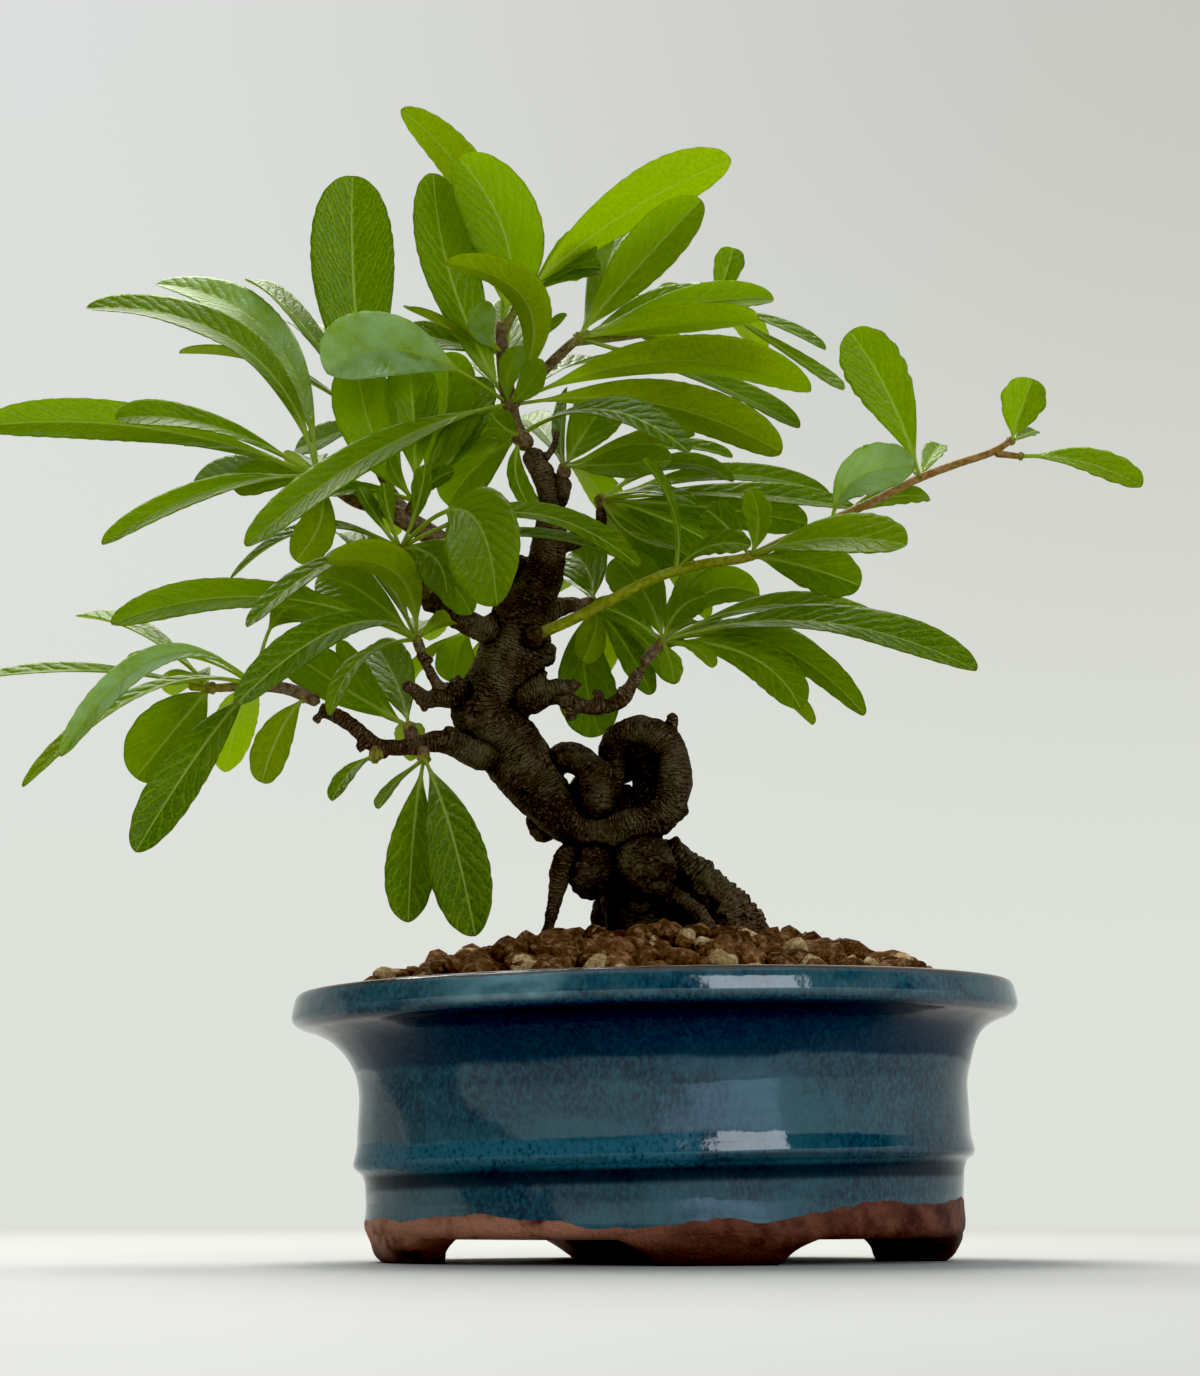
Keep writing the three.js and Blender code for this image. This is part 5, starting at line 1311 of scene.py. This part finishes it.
def leathery_leaf():
    """Green leaf: glossy above with a pale midrib and fine side veins, duller and yellower beneath,
    where the colour is also painted paler, as light on the side that faces away from the lamp. Light
    that falls on one side shows through the other. The very tip is brown."""
    finish = Finish("leathery_leaf")
    note = {label: finish.note(label) for label in ("rib", "along", "blade", "underside", "tone")}
    off = note["rib"].size()
    shift = 5 * note["tone"]
    sway = 2.6 * finish.noise(3.4, 2) + 0.9 * finish.noise(1.2, 1)
    course = (note["along"] - 1.05 * off + sway + shift) / 2.3
    line = (course.fraction() - 0.5).size() * 2.3
    forks = (course * 2 + 0.5).fraction()
    fork = (forks - 0.5).size() * 1.15
    vein = (line.ramp(0.30, 0.06) + 0.8 * fork.ramp(0.22, 0.04) * off.ramp(1.8, 4)).ramp(0, 1)
    mesh = finish.cells(1.5, "DISTANCE_TO_EDGE").ramp(0.11, 0.01) * finish.noise(4).ramp(0.28, 0.5)
    net = (mesh + 0.6 * finish.cells(0.75, "DISTANCE_TO_EDGE").ramp(0.16, 0.02)).ramp(0, 1.1)
    width = 0.15 + 0.30 * (1 - note["blade"])
    rib = (off / width).ramp(1.2, 0.6)
    cloud = finish.noise(9, 3)
    # Painted light and shade are carried by the tone, along with the leaf's own green.
    tone = 0.75 * note["tone"] + 0.3 * cloud.ramp(0.3, 0.7) - 0.1
    above = finish.mix(tone.ramp(0, 1), (0.034, 0.080, 0.0005), (0.188, 0.270, 0.0010))
    # The underside is paler in its own right, and painted paler still as light on a side that faces
    # away from the lamp.
    beneath = finish.mix(tone.ramp(0, 1), (0.230, 0.260, 0.0100), (0.380, 0.440, 0.0140))
    flesh = finish.mix(note["underside"], above, beneath)
    grain = finish.noise(0.8, 2)
    flesh = finish.mix(0.45 * grain.ramp(0.56, 0.40), flesh, (0.022, 0.062, 0.0004))
    flesh = finish.mix(0.5 * net, flesh, (0.19, 0.29, 0.008))
    flesh = finish.mix(0.4 * vein * (0.5 + finish.noise(6)), flesh, (0.25, 0.36, 0.016))
    # Painted sheen: leaves whose tone is past 1 get a pale bluish reflection painted on.
    painted_sheen = (note["tone"] - 1).ramp(0, 0.8) * finish.noise(7, 3).ramp(0.2, 0.7)
    flesh = finish.mix(painted_sheen, flesh, (0.42, 0.60, 0.36))
    flesh = finish.mix(0.85 * rib, flesh, (0.34, 0.42, 0.075))
    flesh = finish.mix(note["blade"].ramp(0.17, 0.0), flesh, (0.32, 0.38, 0.055))
    flesh = finish.mix(0.8 * note["blade"].ramp(0.985, 0.998), flesh, (0.10, 0.045, 0.012))
    spots = finish.cells(9).ramp(0.11, 0.06) * finish.noise(26).ramp(0.56, 0.62)
    flesh = finish.mix(0.8 * spots, flesh, (0.07, 0.032, 0.008))
    rough = 0.34 + 0.26 * note["underside"] + 0.14 * finish.noise(2, 2)
    relief = 0.8 * line.ramp(0, 0.9) + 0.7 * grain
    skin = finish.bump(relief * (1 - 1.6 * note["underside"]), 0.17)
    face = finish.surface(Base_Color=flesh, Roughness=rough, Normal=skin, IOR=1.3)
    through_light = finish.node("ShaderNodeBsdfTranslucent", None, {"Color": (0.51, 0.67, 0.004, 1)})
    share = 0.34 + 0.16 * note["tone"].ramp(0, 1)
    return finish.done(finish.blend(share, face, through_light))


def young_bark():
    """Bark of twigs and shoots: brown where it is old, yellow-green where new, red-brown in the sun."""
    finish = Finish("young_bark")
    green = finish.note("rib")
    red = finish.note("along")
    fine = finish.noise(1.2, 4)
    brown = finish.mix(fine.ramp(0.35, 0.65), (0.070, 0.040, 0.018), (0.175, 0.112, 0.058))
    fresh = finish.mix(fine.ramp(0.3, 0.7), (0.150, 0.165, 0.006), (0.250, 0.270, 0.018))
    sunned = finish.mix(fine.ramp(0.3, 0.7), (0.165, 0.070, 0.016), (0.320, 0.170, 0.055))
    shade = finish.mix(green, brown, fresh)
    shade = finish.mix(red, shade, sunned)
    pores = finish.cells(1.3).ramp(0.2, 0.12)
    shade = finish.mix(0.35 * pores, shade, (0.42, 0.36, 0.22))
    skin = finish.bump(fine, 0.25)
    return finish.done(finish.surface(Base_Color=shade, Roughness=0.6, IOR=1.25, Normal=skin))


leaf_green = leathery_leaf()
twig_brown = young_bark()
TWIG_AROUND = 18
LEAF_LOOK, TWIG_LOOK = 0, 1
for index, (name, spray) in enumerate(SPRAYS.items(), 1):
    # This year's shoot has small buds, and leaves with coarser teeth
    this_year = name == "long_shoot"
    bud_radius, bud_red, teeth = (0.85, 0.4, 0.75) if this_year else (1.25, 0.2, 0.35)
    parts, notes, looks = [], [], []
    for number, stations in enumerate(spray["stems"]):
        line, radius = stretch_of(stations)
        part = tube(line, radius, TWIG_AROUND, 0.05, 2.0, 500 + 10 * index + number)
        green = np.clip((1.15 - np.repeat(radius, TWIG_AROUND)) / 0.4, 0, 1)
        red = 0
        if this_year:
            run = np.repeat(line[:, 0] - POT_CENTRE[0], TWIG_AROUND)
            green = np.clip((run + 26) / 4, 0, 1)
            red = np.clip((run - 8) / 40, 0, 0.9)
        parts.append(part)
        notes.append(twig_notes(part, green, red))
        looks.append(TWIG_LOOK)
    for number, whorl in enumerate(spray["whorls"]):
        bud = knob(seen(whorl["at"]), bud_radius, 700 + 10 * index + number)
        parts.append(bud)
        notes.append(twig_notes(bud, 0.6, bud_red))
        looks.append(TWIG_LOOK)
        leaves = whorl_leaves(whorl, 100 * index + 10 * number, teeth, spray.get("light", 1))
        for skin, note in leaves:
            parts.append(skin)
            notes.append(note)
            looks.append(LEAF_LOOK)
    attributes = {label: [note[label] for note in notes] for label in notes[0]}
    mesh = make_mesh(name + "_fine", parts, attributes, looks)
    place_piece(name + "_fine", mesh, [leaf_green, twig_brown], [name])


# The studio. A pale matt floor that fades into a pale wall of light, a soft lamp over the tree and a
# window in front on the right, which the glaze mirrors.
def lamp(name, place, aim, width, height, power, colour):
    """A rectangular soft lamp at a place, turned to face the aim, both in millimetres."""
    light = bpy.data.lights.new(name, "AREA")
    light.shape = "RECTANGLE"
    light.size = width / 1000
    light.size_y = height / 1000
    light.energy = power
    light.color = colour
    stand = add_object(name, light)
    start, end = (np.array(p, float) / 1000 for p in (place, aim))
    away = start - end
    flat = math.hypot(away[0], away[1])
    stand.location = start
    stand.rotation_euler = (math.atan2(flat, away[2]), 0, math.atan2(away[0], -away[1]))
    return stand


FLOOR_RADIUS = 4000
WALL_LOW = (0.735, 0.760, 0.705)


def floor_disc():
    """A thin round disc under the feet: a small and a large circle below, and the same above."""
    around = 160
    angle = np.linspace(0, 2 * math.pi, around, endpoint=False)
    circle = np.stack([np.cos(angle), np.sin(angle), 0 * angle], -1)
    rows = np.array([[4, -0.6], [FLOOR_RADIUS, -0.6], [FLOOR_RADIUS, -0.05], [4, -0.05]])
    points = circle[None] * rows[:, 0, None, None] + rows[:, 1, None, None] * [0, 0, 1]
    return points.reshape(-1, 3), *ring_faces(len(rows), around)


def pale_floor():
    """Matt pale grey, which turns into the wall's own light further from the pot."""
    finish = Finish("pale_floor")
    tint = finish.mix(finish.noise(300, 2).ramp(0.3, 0.7), (0.42, 0.42, 0.41), (0.45, 0.45, 0.44))
    matt = finish.surface(Base_Color=tint, Roughness=0.6)
    haze = finish.node("ShaderNodeEmission", None, {"Color": (*WALL_LOW, 1)})
    reach = finish.node("ShaderNodeVectorMath", {"operation": "LENGTH"}, {0: finish.place}, "Value")
    return finish.done(finish.blend((reach * 1000).ramp(150, 900), matt, haze))


floor = add_object("floor", make_mesh("floor", [floor_disc()]))
floor.data.materials.append(pale_floor())

world = bpy.data.worlds.new("studio")
world.use_nodes = True
sky = world.node_tree
back = sky.nodes["Background"]
place = sky.nodes.new("ShaderNodeTexCoord")
parts_of = sky.nodes.new("ShaderNodeSeparateXYZ")
sky.links.new(place.outputs["Generated"], parts_of.inputs[0])


def sky_step(axis, low, high):
    """A soft step of 0 to 1 along one axis of the direction that is looked in."""
    step = sky.nodes.new("ShaderNodeMapRange")
    step.interpolation_type = "SMOOTHSTEP"
    step.inputs["From Min"].default_value = low
    step.inputs["From Max"].default_value = high
    sky.links.new(parts_of.outputs[axis], step.inputs["Value"])
    return step.outputs[0]


def sky_mix(share, first, second):
    """The first light where share is 0, and the second where it is 1. Each is a colour or a socket."""
    mixed = sky.nodes.new("ShaderNodeMix")
    mixed.data_type = "RGBA"
    sky.links.new(share, mixed.inputs[0])
    for socket, colour in ((mixed.inputs[6], first), (mixed.inputs[7], second)):
        if isinstance(colour, tuple):
            socket.default_value = (*colour, 1)
        else:
            sky.links.new(colour, socket)
    return mixed.outputs[2]


# Seen from the tree: a dim room in front with a pale wall low down in it and a pale ceiling, and
# a pale wall behind
room = sky_mix(sky_step("Z", 0.26, 0.20), (0.10, 0.105, 0.11), (0.86, 1.0, 0.99))
curtain = sky_mix(sky_step("X", 0.24, 0.36), room, (1.55, 2.1, 2.7))
curtain = sky_mix(sky_step("X", 0.62, 0.73), curtain, room)
room = sky_mix(sky_step("Z", 0.24, 0.10), room, curtain)
room = sky_mix(sky_step("Z", 0.62, 0.90), room, (0.95, 1.0, 1.0))
wall = sky_mix(sky_step("X", -0.25, 0.25), (0.722, 0.737, 0.725), (0.575, 0.582, 0.543))
wall = sky_mix(sky_step("Z", 0.45, 0.05), wall, WALL_LOW)
sky.links.new(sky_mix(sky_step("Y", -0.1, 0.15), room, wall), back.inputs["Color"])
bpy.context.scene.world = world

lamps = [
    lamp("top_light", (-180, 380, 900), (0, 0, 120), 560, 480, 14, (1, 0.99, 0.94)),
    lamp("window", (712, -1076, 500), (0, 0, 40), 570, 440, 5.4, (0.86, 0.92, 1)),
]

camera = add_object("camera", bpy.data.cameras.new("camera"))
camera.location = (EYE + POT_CENTRE) / 1000
CAMERA_TILT = 11.05
camera.rotation_euler = (math.radians(90 + CAMERA_TILT), 0, 0)
camera.data.lens = 68.7
camera.data.clip_start = 0.01
bpy.context.scene.camera = camera
view = bpy.context.scene.view_settings
view.view_transform = "Standard"
view.use_curve_mapping = True
view.curve_mapping.black_level = (0.008, 0.008, 0.009)
view.curve_mapping.update()
